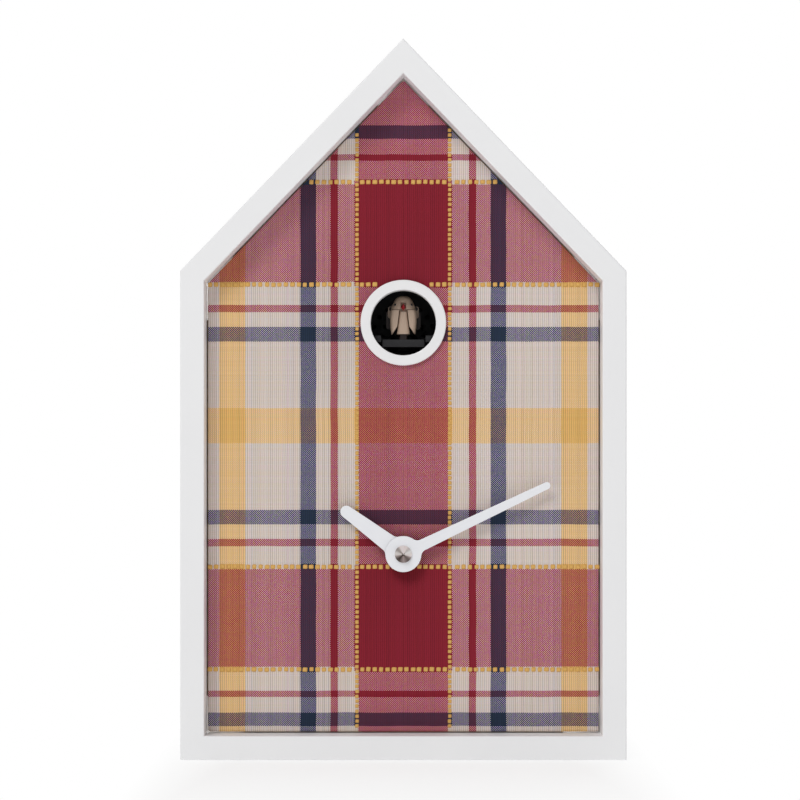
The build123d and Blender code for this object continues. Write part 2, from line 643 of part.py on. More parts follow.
with BuildPart() as speaker_frame:
    add(turned([(21.5, SPEAKER_FRONT), (26, SPEAKER_FRONT), (26, SPEAKER_FRONT - 1.5),
                (24, SPEAKER_FRONT - 2), (15, SPEAKER_FRONT - 10), (6, SPEAKER_FRONT - 10),
                (6, SPEAKER_FRONT - 9), (14, SPEAKER_FRONT - 9), (21.5, SPEAKER_FRONT - 2.2)],
               SPEAKER_Z))
    with BuildSketch(facing(SPEAKER_FRONT - 9)):
        with Locations((0, SPEAKER_Z)):
            with PolarLocations(18.5, 4, start_angle=45):
                Circle(4)
    extrude(amount=6, mode=Mode.SUBTRACT)
    rod(0, SPEAKER_Z, 14, (SPEAKER_FRONT - 15.5, SPEAKER_FRONT - 10))
export(speaker_frame.part, "speaker_frame")

with BuildPart() as speaker_cone:
    add(turned([(5.5, SPEAKER_FRONT - 7.5), (20.9, SPEAKER_FRONT - 1.5), (21.2, SPEAKER_FRONT - 0.2),
                (20.4, SPEAKER_FRONT - 0.6), (5.5, SPEAKER_FRONT - 6.9), (0, SPEAKER_FRONT - 5.4),
                (0, SPEAKER_FRONT - 6)], SPEAKER_Z))
export(speaker_cone.part, "speaker_cone")

with BuildPart() as panel_screws:
    for x, z in BATTEN_SCREWS:
        pan_screw(x, z, BATTEN_BACK, PANEL_BACK + 2.5)
    for x, z in CHAMBER_EARS + HOLDER_EARS:
        pan_screw(x, z, PANEL_BACK - 3, PANEL_BACK + 2.5)
export(panel_screws.part, "panel_screws")

# ---------------------------------------------------------------- cuckoo unit: slide and drive

PLATE_Z = (PORTHOLE_Z + PLATE_TOP - PLATE_THICK, PORTHOLE_Z + PLATE_TOP)
PLATE_DISTANCE = (CHAMBER_BACK + 2, FABRIC_FRONT - 9)
RAIL_INNER = PLATE_HALF + 0.3
RAIL_OUTER = 15.5
RAIL_Z = (PLATE_Z[1] - 1.4, PLATE_Z[1] + 2.1)

with BuildPart() as guide_rails:
    for side in (-1, 1):
        rail = sorted((side * RAIL_INNER, side * RAIL_OUTER))
        block(rail, (CHAMBER_BACK + 2, PANEL_BACK - 2.5), RAIL_Z)
        block(sorted((side * 9, side * RAIL_OUTER)), (CHAMBER_BACK + 2, PANEL_BACK - 12),
              (PLATE_Z[0] - 1.9, PLATE_Z[0] - 0.2))
        block(rail, (CHAMBER_BACK + 2, PANEL_BACK - 12), (PLATE_Z[0] - 0.4, RAIL_Z[0]))
        block(sorted((side * 10.4, side * RAIL_OUTER)), (50, 58), (PLATE_Z[1] + 0.2, RAIL_Z[1]))
        for start in (CHAMBER_BACK + 2, PANEL_BACK - 16):
            block(rail, (start, start + 4), (CHAMBER_FLOOR, RAIL_Z[0]))
export(guide_rails.part, "guide_rails")

RACK_PITCH = pi * RACK_MODULE
PITCH_LINE = PLATE_Z[0] - 1.6
PINION_RADIUS = RACK_MODULE * PINION_TEETH / 2
PINION_Y, PINION_Z = -DRIVE_DISTANCE, PITCH_LINE - PINION_RADIUS
RACK_TEETH = 11


def side_view(x):
    """Sketch plane across X: local x is Y and local y is Z; extrusions go to +X."""
    return Plane.YZ.offset(x)


with BuildPart() as bird_carriage:
    block((-PLATE_HALF, PLATE_HALF), PLATE_DISTANCE, PLATE_Z)
    fillet(bird_carriage.edges().filter_by(Axis.Z), 0.8)
    block((-3, 3), (CHAMBER_BACK + 2, DRIVE_DISTANCE + 4), (PITCH_LINE + 0.96, PLATE_Z[0]))
    # Groove that the drive wheel runs in
    block((4.1, 6.9), (CHAMBER_BACK, DRIVE_DISTANCE + 9), (PLATE_Z[0], PLATE_Z[0] + 2.9),
          mode=Mode.SUBTRACT)
    # A gap of the rack stands over the pinion at rest.
    with BuildSketch(side_view(-3)):
        for tooth in range(RACK_TEETH):
            y = PINION_Y + (tooth - 0.5) * RACK_PITCH
            half = RACK_PITCH / 4 * 0.84
            with BuildLine():
                Polyline(
                    (y - half - 0.35, PITCH_LINE + 0.97), (y - half, PITCH_LINE),
                    (y - half + 0.25, PITCH_LINE - 0.68), (y + half - 0.25, PITCH_LINE - 0.68),
                    (y + half, PITCH_LINE), (y + half + 0.35, PITCH_LINE + 0.97), close=True,
                )
            make_face()
    extrude(amount=6)
export(bird_carriage.part, "bird_carriage")

MOTOR_DIRECTION = -60
MOTOR_REACH = DRIVE_MODULE * (DRIVE_TEETH + MOTOR_TEETH) / 2
MOTOR_Y, MOTOR_Z = step_from((PINION_Y, PINION_Z), MOTOR_REACH, MOTOR_DIRECTION)
WHEEL_X = (4.6, 6.4)
CHEEKS = [(-5.6, -4.2), (8.2, 9.6)]

with BuildPart() as drive_gear:
    with BuildSketch(side_view(-3.4)):
        with Locations((PINION_Y, PINION_Z)):
            add(gear_outline(PINION_TEETH, RACK_MODULE, 90))
    extrude(amount=3.4 + WHEEL_X[0])
    with BuildSketch(side_view(WHEEL_X[0])):
        with Locations((PINION_Y, PINION_Z)):
            add(gear_outline(DRIVE_TEETH, DRIVE_MODULE))
    extrude(amount=WHEEL_X[1] - WHEEL_X[0])
    cross_rod(-PINION_Y, PINION_Z, 1, (CHEEKS[0][0], CHEEKS[1][1]))
export(drive_gear.part, "drive_gear")

with BuildPart() as gear_bracket:
    for cheek in CHEEKS:
        block(cheek, (-MOTOR_Y - 7, DRIVE_DISTANCE + 5), (CHAMBER_FLOOR + 1.5, PINION_Z + 2.4))
        cross_rod(-PINION_Y, PINION_Z, 1 + RUNNING, cheek, mode=Mode.SUBTRACT)
    block((CHEEKS[0][0], CHEEKS[1][1]), (-MOTOR_Y - 7, DRIVE_DISTANCE + 5),
          (CHAMBER_FLOOR, CHAMBER_FLOOR + 1.5))
    cross_rod(-MOTOR_Y, MOTOR_Z, 2.6, CHEEKS[1], mode=Mode.SUBTRACT)
export(gear_bracket.part, "gear_bracket")

with BuildPart() as motor_pinion:
    with BuildSketch(side_view(WHEEL_X[0] - 0.4)):
        with Locations((MOTOR_Y, MOTOR_Z)):
            add(gear_outline(MOTOR_TEETH, DRIVE_MODULE,
                             mating_turn(MOTOR_DIRECTION, 0, DRIVE_TEETH, MOTOR_TEETH)))
    extrude(amount=WHEEL_X[1] - WHEEL_X[0] + 0.8)
    cross_rod(-MOTOR_Y, MOTOR_Z, 0.75, (WHEEL_X[1], CHEEKS[1][1] + 4))
export(motor_pinion.part, "motor_pinion")

with BuildPart() as drive_motor:
    cross_rod(-MOTOR_Y, MOTOR_Z, 6, (CHEEKS[1][1], 26))
    fillet(drive_motor.edges().filter_by(GeomType.CIRCLE), 0.6)
    cross_rod(-MOTOR_Y, MOTOR_Z, 2.4, (CHEEKS[1][0] + 0.2, CHEEKS[1][1]))
    cross_rod(-MOTOR_Y, MOTOR_Z, 0.75 + RUNNING, (CHEEKS[1][0], CHEEKS[1][1] + 4.1),
              mode=Mode.SUBTRACT)
export(drive_motor.part, "drive_motor")

# ---------------------------------------------------------------- bird

NECK_Z = PORTHOLE_Z + 8.1
HEAD_HIGH = 7.8
HEAD_HALF = (6.9, 5.6)
BODY_LOW = PORTHOLE_Z - 5.4
BIRD_Y = -BIRD_DISTANCE
BEAK_Z = PORTHOLE_Z + 9.6

with BuildPart() as bird_stem:
    with BuildSketch(Plane.XY.offset(PLATE_Z[1])):
        with Locations((0, BIRD_Y)):
            RectangleRounded(4.4, 5, 0.8)
    extrude(amount=BODY_LOW - PLATE_Z[1])
export(bird_stem.part, "bird_stem")

EYE_RADIUS = 0.75
EYES = [(side * 4.45, BIRD_Y - 3.3, PORTHOLE_Z + 10.7) for side in (-1, 1)]

with BuildPart() as bird_body:
    # Head: a pointed dome, wider than it is deep, cut off flat at the neck
    with BuildSketch(Plane.XZ):
        with BuildLine():
            Spline((0, NECK_Z + HEAD_HIGH), (HEAD_HALF[1] * 0.78, NECK_Z + HEAD_HIGH * 0.54),
                   (HEAD_HALF[1], NECK_Z), tangents=((1, 0), (0.12, -1)))
            Polyline((HEAD_HALF[1], NECK_Z), (0, NECK_Z), (0, NECK_Z + HEAD_HIGH))
        make_face()
    revolve(axis=Axis.Z)
    scale(by=(HEAD_HALF[0] / HEAD_HALF[1], 1, 1))
    bird_body.part.position = (0, BIRD_Y, 0)
    # Breast and back: narrow at the neck and wider below
    with BuildSketch(Plane.XY.offset(BODY_LOW)):
        with Locations((0, BIRD_Y)):
            RectangleRounded(7.1, 9.6, 2.2)
    with BuildSketch(Plane.XY.offset(NECK_Z)):
        with Locations((0, BIRD_Y)):
            RectangleRounded(3.7, 9.0, 1.4)
    loft()
    with Locations(*EYES):
        Sphere(EYE_RADIUS, mode=Mode.SUBTRACT)
    # Slot for the beak, with room below and behind for its lower half to open
    block((-1.6, 1.6), (BIRD_DISTANCE + 2.2, BIRD_DISTANCE + 8), (BEAK_Z - 2.7, BEAK_Z + 2.3),
          mode=Mode.SUBTRACT)
export(bird_body.part, "bird_body")

BEAK_REACH = 2.6


def beak_half(upper):
    """Half of the diamond-shaped beak: a wedge that narrows to the front and away from the gape."""
    turn = 1 if upper else -1
    gap = 0.08 * turn
    root = BIRD_DISTANCE + (2.2 if upper else 3.6)
    with BuildPart() as half_beak:
        with BuildSketch(Plane.XZ.offset(root)):
            with BuildLine():
                Polyline((-1.4, BEAK_Z + gap), (1.4, BEAK_Z + gap), (0, BEAK_Z + gap + turn * 2.0),
                         close=True)
            make_face()
        with BuildSketch(Plane.XZ.offset(BIRD_DISTANCE + 5.8 + BEAK_REACH)):
            with BuildLine():
                Polyline((-0.3, BEAK_Z + gap), (0.3, BEAK_Z + gap), (0, BEAK_Z + gap + turn * 0.4),
                         close=True)
            make_face()
        loft()
    return half_beak.part


export(beak_half(True), "upper_beak")
export(beak_half(False), "lower_beak")

with BuildPart() as bird_eyes:
    with Locations(*EYES):
        Sphere(EYE_RADIUS)
export(bird_eyes.part, "bird_eyes")

BACK_DISTANCE = BIRD_DISTANCE - 6.6

with BuildPart() as bird_back_plate:
    with BuildSketch(facing(BACK_DISTANCE - 1.4)):
        with Locations((0, PORTHOLE_Z + 2.9)):
            RectangleRounded(19, 10, 1.5)
        for side in (-1, 1):
            with Locations((side * WING_PIN[0], PORTHOLE_Z + WING_PIN[1] - 1.5)):
                SlotOverall(6, 3, rotation=90)
        with Locations((0, (PLATE_Z[1] + PORTHOLE_Z) / 2)):
            Rectangle(4, PORTHOLE_Z - PLATE_Z[1])
    extrude(amount=1.4)
    block((-1.4, 1.4), (BACK_DISTANCE, BIRD_DISTANCE - 4.85), (PORTHOLE_Z + 1, PORTHOLE_Z + 7))
    for side in (-1, 1):
        rod(side * WING_PIN[0], PORTHOLE_Z + WING_PIN[1], 0.6, (BACK_DISTANCE, BACK_DISTANCE + 2.2))
        rod(side * WING_PIN[0], PORTHOLE_Z + WING_PIN[1], 1, (BACK_DISTANCE + 2.2, BACK_DISTANCE + 2.6))
export(bird_back_plate.part, "bird_back_plate")

WING_TOP = 7.8
WING_TIP = (6.4, -5.8)
WING_DEPTH = 9.2


def wing(side):
    """Folded wing: a rounded plate along the bird's flank, with a lug that hangs on its pin."""

    def at(x, z):
        return (side * x, PORTHOLE_Z + z)

    with BuildPart() as plate:
        with BuildSketch(facing(BIRD_DISTANCE - 4.4)):
            with BuildLine():
                ThreePointArc(at(6.8, WING_TOP), at(7.3, 1.2), at(*WING_TIP))
                Polyline(at(*WING_TIP), at(3.35, -1.1), at(2.25, WING_TOP), at(6.8, WING_TOP))
            make_face()
        extrude(amount=WING_DEPTH)
        # The outer edge rounds over to the front and carries on the line of the head.
        front = plate.faces().sort_by(Axis.Y)[0]
        flank = front.edges().filter_by(GeomType.CIRCLE)
        fillet(flank, 2.4)
        with BuildSketch(facing(BACK_DISTANCE + 0.3)):
            with Locations((side * WING_PIN[0], PORTHOLE_Z + WING_PIN[1] - 1.9)):
                SlotOverall(6.6, 2.8, rotation=90)
            with Locations((side * WING_PIN[0], PORTHOLE_Z + WING_PIN[1])):
                Circle(0.6 + RUNNING, mode=Mode.SUBTRACT)
        extrude(amount=1.7)
        block(sorted((side * 5.9, side * 6.9)), (BACK_DISTANCE + 0.3, BIRD_DISTANCE - 4),
              (PORTHOLE_Z + 3.2, PORTHOLE_Z + 6.6))
    return plate.part


export(wing(-1), "left_wing")
export(wing(1), "right_wing")

# ---------------------------------------------------------------- power and controls

CELL_C = (13.1, 49.5)
HOLDER_WALL = 1.8
HOLDER_X = 29
HOLDER_DISTANCE = (56, PANEL_BACK)
HOLDER_MIDDLE = (HOLDER_LOW + HOLDER_HIGH) / 2
CELL_DISTANCE = PANEL_BACK - HOLDER_WALL - CELL_C[0] - 0.1

with BuildPart() as battery_holder:
    block((-HOLDER_X, HOLDER_X), HOLDER_DISTANCE, (HOLDER_LOW, HOLDER_HIGH))
    fillet(battery_holder.edges().filter_by(Axis.Y), 2)
    for low, high in ((HOLDER_LOW + HOLDER_WALL, HOLDER_MIDDLE - 0.6),
                      (HOLDER_MIDDLE + 0.6, HOLDER_HIGH - HOLDER_WALL)):
        block((-HOLDER_X + HOLDER_WALL, HOLDER_X - HOLDER_WALL),
              (HOLDER_DISTANCE[0], PANEL_BACK - HOLDER_WALL), (low, high), mode=Mode.SUBTRACT)
    for x, z in HOLDER_EARS:
        inner = HOLDER_X - 0.5 if x > 0 else -HOLDER_X + 0.5
        block(sorted((inner, x * 37 / 33)), (PANEL_BACK - 3, PANEL_BACK), (z - 5, z + 5))
        rod(x, z, 1.5 + RUNNING, (PANEL_BACK - 3, PANEL_BACK), mode=Mode.SUBTRACT)
export(battery_holder.part, "battery_holder")

CELL_ROWS = [(HOLDER_MIDDLE - 13.9, 1), (HOLDER_MIDDLE + 13.9, -1)]

with BuildPart() as cuckoo_cells:
    for z, pole in CELL_ROWS:
        cross_rod(CELL_DISTANCE, z, CELL_C[0], (-CELL_C[1] / 2, CELL_C[1] / 2))
    fillet(cuckoo_cells.edges().filter_by(GeomType.CIRCLE), 0.8)
    for z, pole in CELL_ROWS:
        cross_rod(CELL_DISTANCE, z, 3.2,
                  sorted((pole * CELL_C[1] / 2, pole * (CELL_C[1] / 2 + 1.4))))
export(cuckoo_cells.part, "cuckoo_cells")

with BuildPart() as cell_contacts:
    wall = MODULE_HALF - MODULE_WALL
    for side in (-1, 1):
        block(sorted((side * wall, side * (wall - 0.4))),
              (AA_DISTANCE - 4, AA_DISTANCE + 4), (AA_Z - 4, AA_Z + 4))
        block(sorted((side * (wall - 0.4), side * (wall - 0.8))),
              (AA_DISTANCE - 1.5, AA_DISTANCE + 1.5), (AA_Z - 1.5, AA_Z + 1.5))
    wall = HOLDER_X - HOLDER_WALL
    for z, pole in CELL_ROWS:
        for side in (-1, 1):
            block(sorted((side * wall, side * (wall - 0.5))),
                  (CELL_DISTANCE - 6, CELL_DISTANCE + 6), (z - 6, z + 6))
        cross_rod(CELL_DISTANCE, z, 3.6, sorted((-pole * (wall - 0.5), -pole * (wall - 2))))
export(cell_contacts.part, "cell_contacts")

CONTROL_X = (31, 51)
CONTROL_Z = (PORTHOLE_Z - 24, PORTHOLE_Z + 20)
CONTROL_DISTANCE = (26, 58)
KNOB_X, KNOB_Z = 41, PORTHOLE_Z + 6
SWITCH_Z = PORTHOLE_Z - 14
BOARD_DISTANCE = 40

with BuildPart() as control_housing:
    block(CONTROL_X, CONTROL_DISTANCE, CONTROL_Z)
    fillet(control_housing.edges().filter_by(Axis.Y), 2)
    block((CONTROL_X[0] + 1.6, CONTROL_X[1] - 1.6), (CONTROL_DISTANCE[0] + 1.8, CONTROL_DISTANCE[1]),
          (CONTROL_Z[0] + 1.6, CONTROL_Z[1] - 1.6), mode=Mode.SUBTRACT)
    block((CHAMBER_HALF, CONTROL_X[0]), (CONTROL_DISTANCE[0] + 4, CONTROL_DISTANCE[1] - 4),
          (CONTROL_Z[0] + 6, CONTROL_Z[1] - 6))
    rod(KNOB_X, KNOB_Z, 3.4, (CONTROL_DISTANCE[0], CONTROL_DISTANCE[0] + 1.8), mode=Mode.SUBTRACT)
    block((KNOB_X - 1.8, KNOB_X + 1.8), (CONTROL_DISTANCE[0], CONTROL_DISTANCE[0] + 1.8),
          (SWITCH_Z - 5.2, SWITCH_Z + 5.2), mode=Mode.SUBTRACT)
export(control_housing.part, "control_housing")

with BuildPart() as control_circuit:
    block((CONTROL_X[0] + 1.8, CONTROL_X[1] - 1.8), (BOARD_DISTANCE, BOARD_DISTANCE + 1.6),
          (CONTROL_Z[0] + 1.8, CONTROL_Z[1] - 1.8))
    block((KNOB_X - 6, KNOB_X + 6), (BOARD_DISTANCE - 7, BOARD_DISTANCE), (KNOB_Z - 6, KNOB_Z + 6))
    rod(KNOB_X, KNOB_Z, 3 + RUNNING, (BOARD_DISTANCE - 7, BOARD_DISTANCE - 1), mode=Mode.SUBTRACT)
    block((KNOB_X - 4, KNOB_X + 4), (BOARD_DISTANCE - 5, BOARD_DISTANCE),
          (SWITCH_Z - 7, SWITCH_Z + 7))
    block((KNOB_X - 1.8, KNOB_X + 1.8), (BOARD_DISTANCE - 5, BOARD_DISTANCE - 2),
          (SWITCH_Z - 5.2, SWITCH_Z + 5.2), mode=Mode.SUBTRACT)
    block((KNOB_X - 5, KNOB_X + 5), (BOARD_DISTANCE + 1.6, BOARD_DISTANCE + 3),
          (PORTHOLE_Z - 6, PORTHOLE_Z + 4))
    for z in (PORTHOLE_Z + 10, PORTHOLE_Z - 14):
        rod(KNOB_X, z, 3, (BOARD_DISTANCE + 1.6, BOARD_DISTANCE + 8))
export(control_circuit.part, "control_circuit")

with BuildPart() as volume_knob:
    rod(KNOB_X, KNOB_Z, 3, (CONTROL_DISTANCE[0] - 0.5, BOARD_DISTANCE - 1.3))
    grip = (CONTROL_DISTANCE[0] - 9.5, CONTROL_DISTANCE[0] - 0.5)
    rod(KNOB_X, KNOB_Z, 7, grip)
    fillet(volume_knob.faces().sort_by(Axis.Y)[-1].edges(), 0.8)
    with BuildSketch(facing(grip[0])):
        with Locations((KNOB_X, KNOB_Z)):
            with PolarLocations(7.3, 20):
                Circle(0.7)
    extrude(amount=7, mode=Mode.SUBTRACT)
    block((KNOB_X - 0.5, KNOB_X + 0.5), (grip[0], grip[0] + 0.5), (KNOB_Z + 1, KNOB_Z + 5.5),
          mode=Mode.SUBTRACT)
export(volume_knob.part, "volume_knob")

with BuildPart() as mode_switch:
    block((KNOB_X - 1.5, KNOB_X + 1.5), (CONTROL_DISTANCE[0] - 4, BOARD_DISTANCE - 2.3),
          (SWITCH_Z - 1.5, SWITCH_Z + 1.5))
    fillet(mode_switch.faces().sort_by(Axis.Y)[-1].edges(), 0.5)
export(mode_switch.part, "mode_switch")

# ---------------------------------------------------------------- wires, each held at both ends


WIRE_RADIUS = 0.55
WIRE_BEND = 4
CONTROL_LOW = CONTROL_Z[0]
BATTERY_ROUTE = [
    (HOLDER_X, -62, HOLDER_HIGH - 12), (38, -62, HOLDER_HIGH - 12), (43, -56, HOLDER_HIGH - 2),
    (43, -53, CONTROL_LOW - 7), (43, -53, CONTROL_LOW),
]
SIGNAL_ROUTE = [
    (MODULE_HALF, -73, HANDS_Z + 8), (36, -73, HANDS_Z + 8), (46, -68, HANDS_Z + 24),
    (44, -64, HANDS_Z + 58), (48, -55, HOLDER_HIGH + 2), (48, -55, CONTROL_LOW),
]
SPEAKER_ROUTE = [
    (24.5, -SPEAKER_FRONT + 1, SPEAKER_Z - 12), (33, -16, SPEAKER_Z - 20),
    (42, -20, SPEAKER_Z - 32), (46, -34, SPEAKER_Z - 33), (46, -36, CONTROL_LOW - 5),
    (46, -36, CONTROL_LOW),
]
PAIRS = [(BATTERY_ROUTE, (0, 1.3, 0)), (SIGNAL_ROUTE, (0, 1.3, 0)), (SPEAKER_ROUTE, (1.3, 0, 1.3))]

with BuildPart() as wire_leads:
    for points, offset in PAIRS:
        for shift in ((0, 0, 0), offset):
            route = [tuple(a + b for a, b in zip(point, shift)) for point in points]
            route[-1] = (route[-1][0], route[-1][1], CONTROL_LOW)
            with BuildLine() as path:
                FilletPolyline(*route, radius=WIRE_BEND)
            with BuildSketch(Plane(origin=path.line @ 0, z_dir=path.line % 0)) as section:
                Circle(WIRE_RADIUS)
            sweep(section.sketch, path=path.line)
export(wire_leads.part, "wire_leads")
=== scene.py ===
import json
import math
import random

import bmesh
import bpy
from mathutils import Matrix, Vector


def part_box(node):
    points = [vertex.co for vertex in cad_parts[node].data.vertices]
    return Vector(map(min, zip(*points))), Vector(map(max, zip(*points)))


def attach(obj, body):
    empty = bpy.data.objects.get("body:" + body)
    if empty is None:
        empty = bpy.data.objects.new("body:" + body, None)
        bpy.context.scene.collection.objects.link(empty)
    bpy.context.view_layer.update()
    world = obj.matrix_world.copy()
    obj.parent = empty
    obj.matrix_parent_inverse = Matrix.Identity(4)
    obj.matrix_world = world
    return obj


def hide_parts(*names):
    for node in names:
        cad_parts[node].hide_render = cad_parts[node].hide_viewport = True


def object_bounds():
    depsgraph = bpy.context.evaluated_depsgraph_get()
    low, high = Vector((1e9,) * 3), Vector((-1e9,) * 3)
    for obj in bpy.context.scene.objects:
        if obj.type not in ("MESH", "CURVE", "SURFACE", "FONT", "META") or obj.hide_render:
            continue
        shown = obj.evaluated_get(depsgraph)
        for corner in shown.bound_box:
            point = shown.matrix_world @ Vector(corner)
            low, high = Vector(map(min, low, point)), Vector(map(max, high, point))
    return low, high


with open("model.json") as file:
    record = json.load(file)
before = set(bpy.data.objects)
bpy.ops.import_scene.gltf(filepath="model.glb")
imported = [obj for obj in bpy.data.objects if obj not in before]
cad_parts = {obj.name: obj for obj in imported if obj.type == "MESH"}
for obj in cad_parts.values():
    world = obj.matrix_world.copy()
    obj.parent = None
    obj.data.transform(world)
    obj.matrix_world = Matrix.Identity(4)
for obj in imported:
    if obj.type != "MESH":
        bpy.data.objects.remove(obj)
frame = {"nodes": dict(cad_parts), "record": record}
cad_box = [list(corner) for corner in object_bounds()]

# Looks of a house-shaped cuckoo clock. Everything is in metres, in the CAD model's frame:
# +X to the right and +Z up, seen from the front, and -Y towards the front.

MM = 0.001
LOW, HIGH = (Vector(corner) for corner in cad_box)
FLOOR_Z, APEX_Z, FRONT_Y = LOW.z, HIGH.z, LOW.y
HALF_WIDTH = HIGH.x
EAVES_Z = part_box("left_side_board")[1].z
SLOPE = math.atan2(APEX_Z - EAVES_Z, HALF_WIDTH)
FABRIC_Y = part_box("fabric_face")[0].y
PANEL_BACK_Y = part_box("fabric_face")[1].y
FABRIC_INSET = HALF_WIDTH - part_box("fabric_face")[1].x


def middle(node):
    """Centre of a CAD node's box."""
    low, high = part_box(node)
    return (Vector(low) + Vector(high)) / 2


PORTHOLE = middle("porthole_ring")
HANDS = middle("hand_nut")
# The holes in the cloth lie under the ring's flange and round the movement's bush.
RING_FLANGE = 2.05 * MM
RING_HOLE = (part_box("porthole_ring")[1].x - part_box("porthole_ring")[0].x) / 2 - RING_FLANGE
BUSH_HOLE = 4.2 * MM


# ---------------------------------------------------------------- shader building


class Shader:
    """A Principled material and short calls that add nodes to it."""

    def __init__(self, name, roughness=0.5, metallic=0.0, **sockets):
        self.material = bpy.data.materials.new(name)
        self.material.use_nodes = True
        self.tree = self.material.node_tree
        self.main = self.tree.nodes["Principled BSDF"]
        self.main.inputs["Roughness"].default_value = roughness
        self.main.inputs["Metallic"].default_value = metallic
        for socket, value in sockets.items():
            self.main.inputs[socket.replace("_", " ")].default_value = value

    def node(self, kind, links=(), **settings):
        """Add a node: settings are its properties, links its inputs' values or sockets."""
        node = self.tree.nodes.new(kind)
        for key, value in settings.items():
            setattr(node, key, value)
        for socket, value in dict(links).items():
            self.link(value, node.inputs[socket])
        return node

    def link(self, value, socket):
        if isinstance(value, bpy.types.NodeSocket):
            self.tree.links.new(value, socket)
        else:
            socket.default_value = value

    def math(self, operation, a, b=0.0, c=0.0):
        return self.node("ShaderNodeMath", {0: a, 1: b, 2: c}, operation=operation).outputs[0]

    def place(self):
        """Object coordinates, in metres, which are the frame's own."""
        return self.node("ShaderNodeTexCoord").outputs["Object"]

    def axes(self, place):
        return self.node("ShaderNodeSeparateXYZ", {0: place}).outputs

    def joined(self, x, y, z=0.0):
        return self.node("ShaderNodeCombineXYZ", {0: x, 1: y, 2: z}).outputs[0]

    def scaled(self, place, scale):
        node = self.node("ShaderNodeVectorMath", {0: place, 1: scale}, operation="MULTIPLY")
        return node.outputs[0]

    def noise(self, place, scale, detail=2.0, roughness=0.5):
        node = self.node("ShaderNodeTexNoise",
                         {"Vector": place, "Scale": scale, "Detail": detail, "Roughness": roughness})
        return node.outputs[0]

    def random(self, value):
        """A number from 0 to 1 that only depends on the value."""
        node = self.node("ShaderNodeTexWhiteNoise", noise_dimensions="1D")
        self.link(value, node.inputs["W"])
        return node.outputs["Value"]

    def remap(self, value, low, high, to_low, to_high):
        limits = {0: value, 1: low, 2: high, 3: to_low, 4: to_high}
        return self.node("ShaderNodeMapRange", limits).outputs[0]

    def mix(self, factor, a, b, blend="MIX"):
        node = self.node("ShaderNodeMix", data_type="RGBA", blend_type=blend)
        self.link(factor, node.inputs["Factor"])
        self.link(as_colour(a), node.inputs["A"])
        self.link(as_colour(b), node.inputs["B"])
        return node.outputs["Result"]

    def ramp(self, value, stops, interpolation="LINEAR"):
        node = self.node("ShaderNodeValToRGB", {0: value})
        band = node.color_ramp
        band.interpolation = interpolation
        while len(band.elements) < len(stops):
            band.elements.new(0.5)
        for element, (position, colour) in zip(band.elements, stops):
            element.position = position
            element.color = as_colour(colour)
        return node.outputs[0]

    def colour(self, value):
        self.link(as_colour(value), self.main.inputs["Base Color"])

    def roughness(self, value):
        self.link(value, self.main.inputs["Roughness"])

    def bump(self, height, distance, strength=1.0):
        node = self.node("ShaderNodeBump",
                         {"Height": height, "Distance": distance, "Strength": strength})
        self.link(node.outputs[0], self.main.inputs["Normal"])


def as_colour(value):
    """Three numbers become an opaque colour; a socket stays as it is."""
    if isinstance(value, bpy.types.NodeSocket):
        return value
    return (*value[:3], 1.0)


def shade(colour, factor):
    """A colour made darker or paler."""
    return tuple(min(1.0, channel * factor) for channel in colour)


# ---------------------------------------------------------------- materials


def lacquer():
    """Satin white lacquer: slightly cloudy, with faint orange peel and uneven gloss."""
    s = Shader("white_lacquer", roughness=0.42, Specular_IOR_Level=0.4)
    place = s.place()
    cloud = s.noise(place, 22, 3)
    s.colour(s.mix(cloud, (0.86, 0.86, 0.87), (0.9, 0.9, 0.905)))
    s.roughness(s.remap(s.noise(place, 60, 4), 0.3, 0.7, 0.36, 0.5))
    peel = s.noise(place, 900, 2)
    s.bump(s.math("ADD", peel, s.math("MULTIPLY", s.noise(place, 160, 2), 0.6)), 0.00003, 0.5)
    return s.material


def bare_wood():
    """Birch plywood and spruce: long grain along X with darker late wood and pores."""
    s = Shader("bare_wood", roughness=0.7)
    place = s.place()
    grain = s.noise(s.scaled(place, (9, 60, 90)), 1.5, 5, 0.6)
    rings = s.node("ShaderNodeTexWave",
                   {"Vector": s.scaled(place, (3, 40, 60)), "Scale": 0.7, "Distortion": 6.0,
                    "Detail": 3.0}, bands_direction="Z").outputs["Color"]
    light, dark = (0.72, 0.55, 0.36), (0.5, 0.33, 0.18)
    s.colour(s.mix(s.math("MULTIPLY", grain, rings), light, dark))
    pores = s.noise(s.scaled(place, (60, 900, 900)), 1.0, 3)
    s.roughness(s.remap(pores, 0.3, 0.7, 0.6, 0.8))
    s.bump(s.math("ADD", pores, grain), 0.0001, 0.5)
    return s.material


def moulded(name, colour, roughness, grain=0.00004, spread=0.12):
    """Moulded plastic: fine spark-eroded grain, slight shade changes and uneven gloss."""
    s = Shader(name, roughness=roughness)
    place = s.place()
    s.colour(s.mix(s.noise(place, 90, 3), shade(colour, 1 - spread), shade(colour, 1 + spread)))
    s.roughness(s.remap(s.noise(place, 240, 3), 0.3, 0.7, roughness - 0.08, roughness + 0.08))
    s.bump(s.noise(place, 3500, 2), grain, 0.4)
    return s.material


def metal(name, colour, roughness, stretch=(1, 1, 1), scratch=0.00002):
    """Metal with fine drawn or turned marks along the axes that stretch says."""
    s = Shader(name, roughness=roughness, metallic=1.0)
    place = s.place()
    marks = s.noise(s.scaled(place, stretch), 2500, 3)
    s.colour(s.mix(s.noise(place, 150, 3), shade(colour, 0.88), shade(colour, 1.08)))
    s.roughness(s.remap(marks, 0.3, 0.7, roughness * 0.7, roughness * 1.4))
    s.bump(marks, scratch, 0.4)
    return s.material


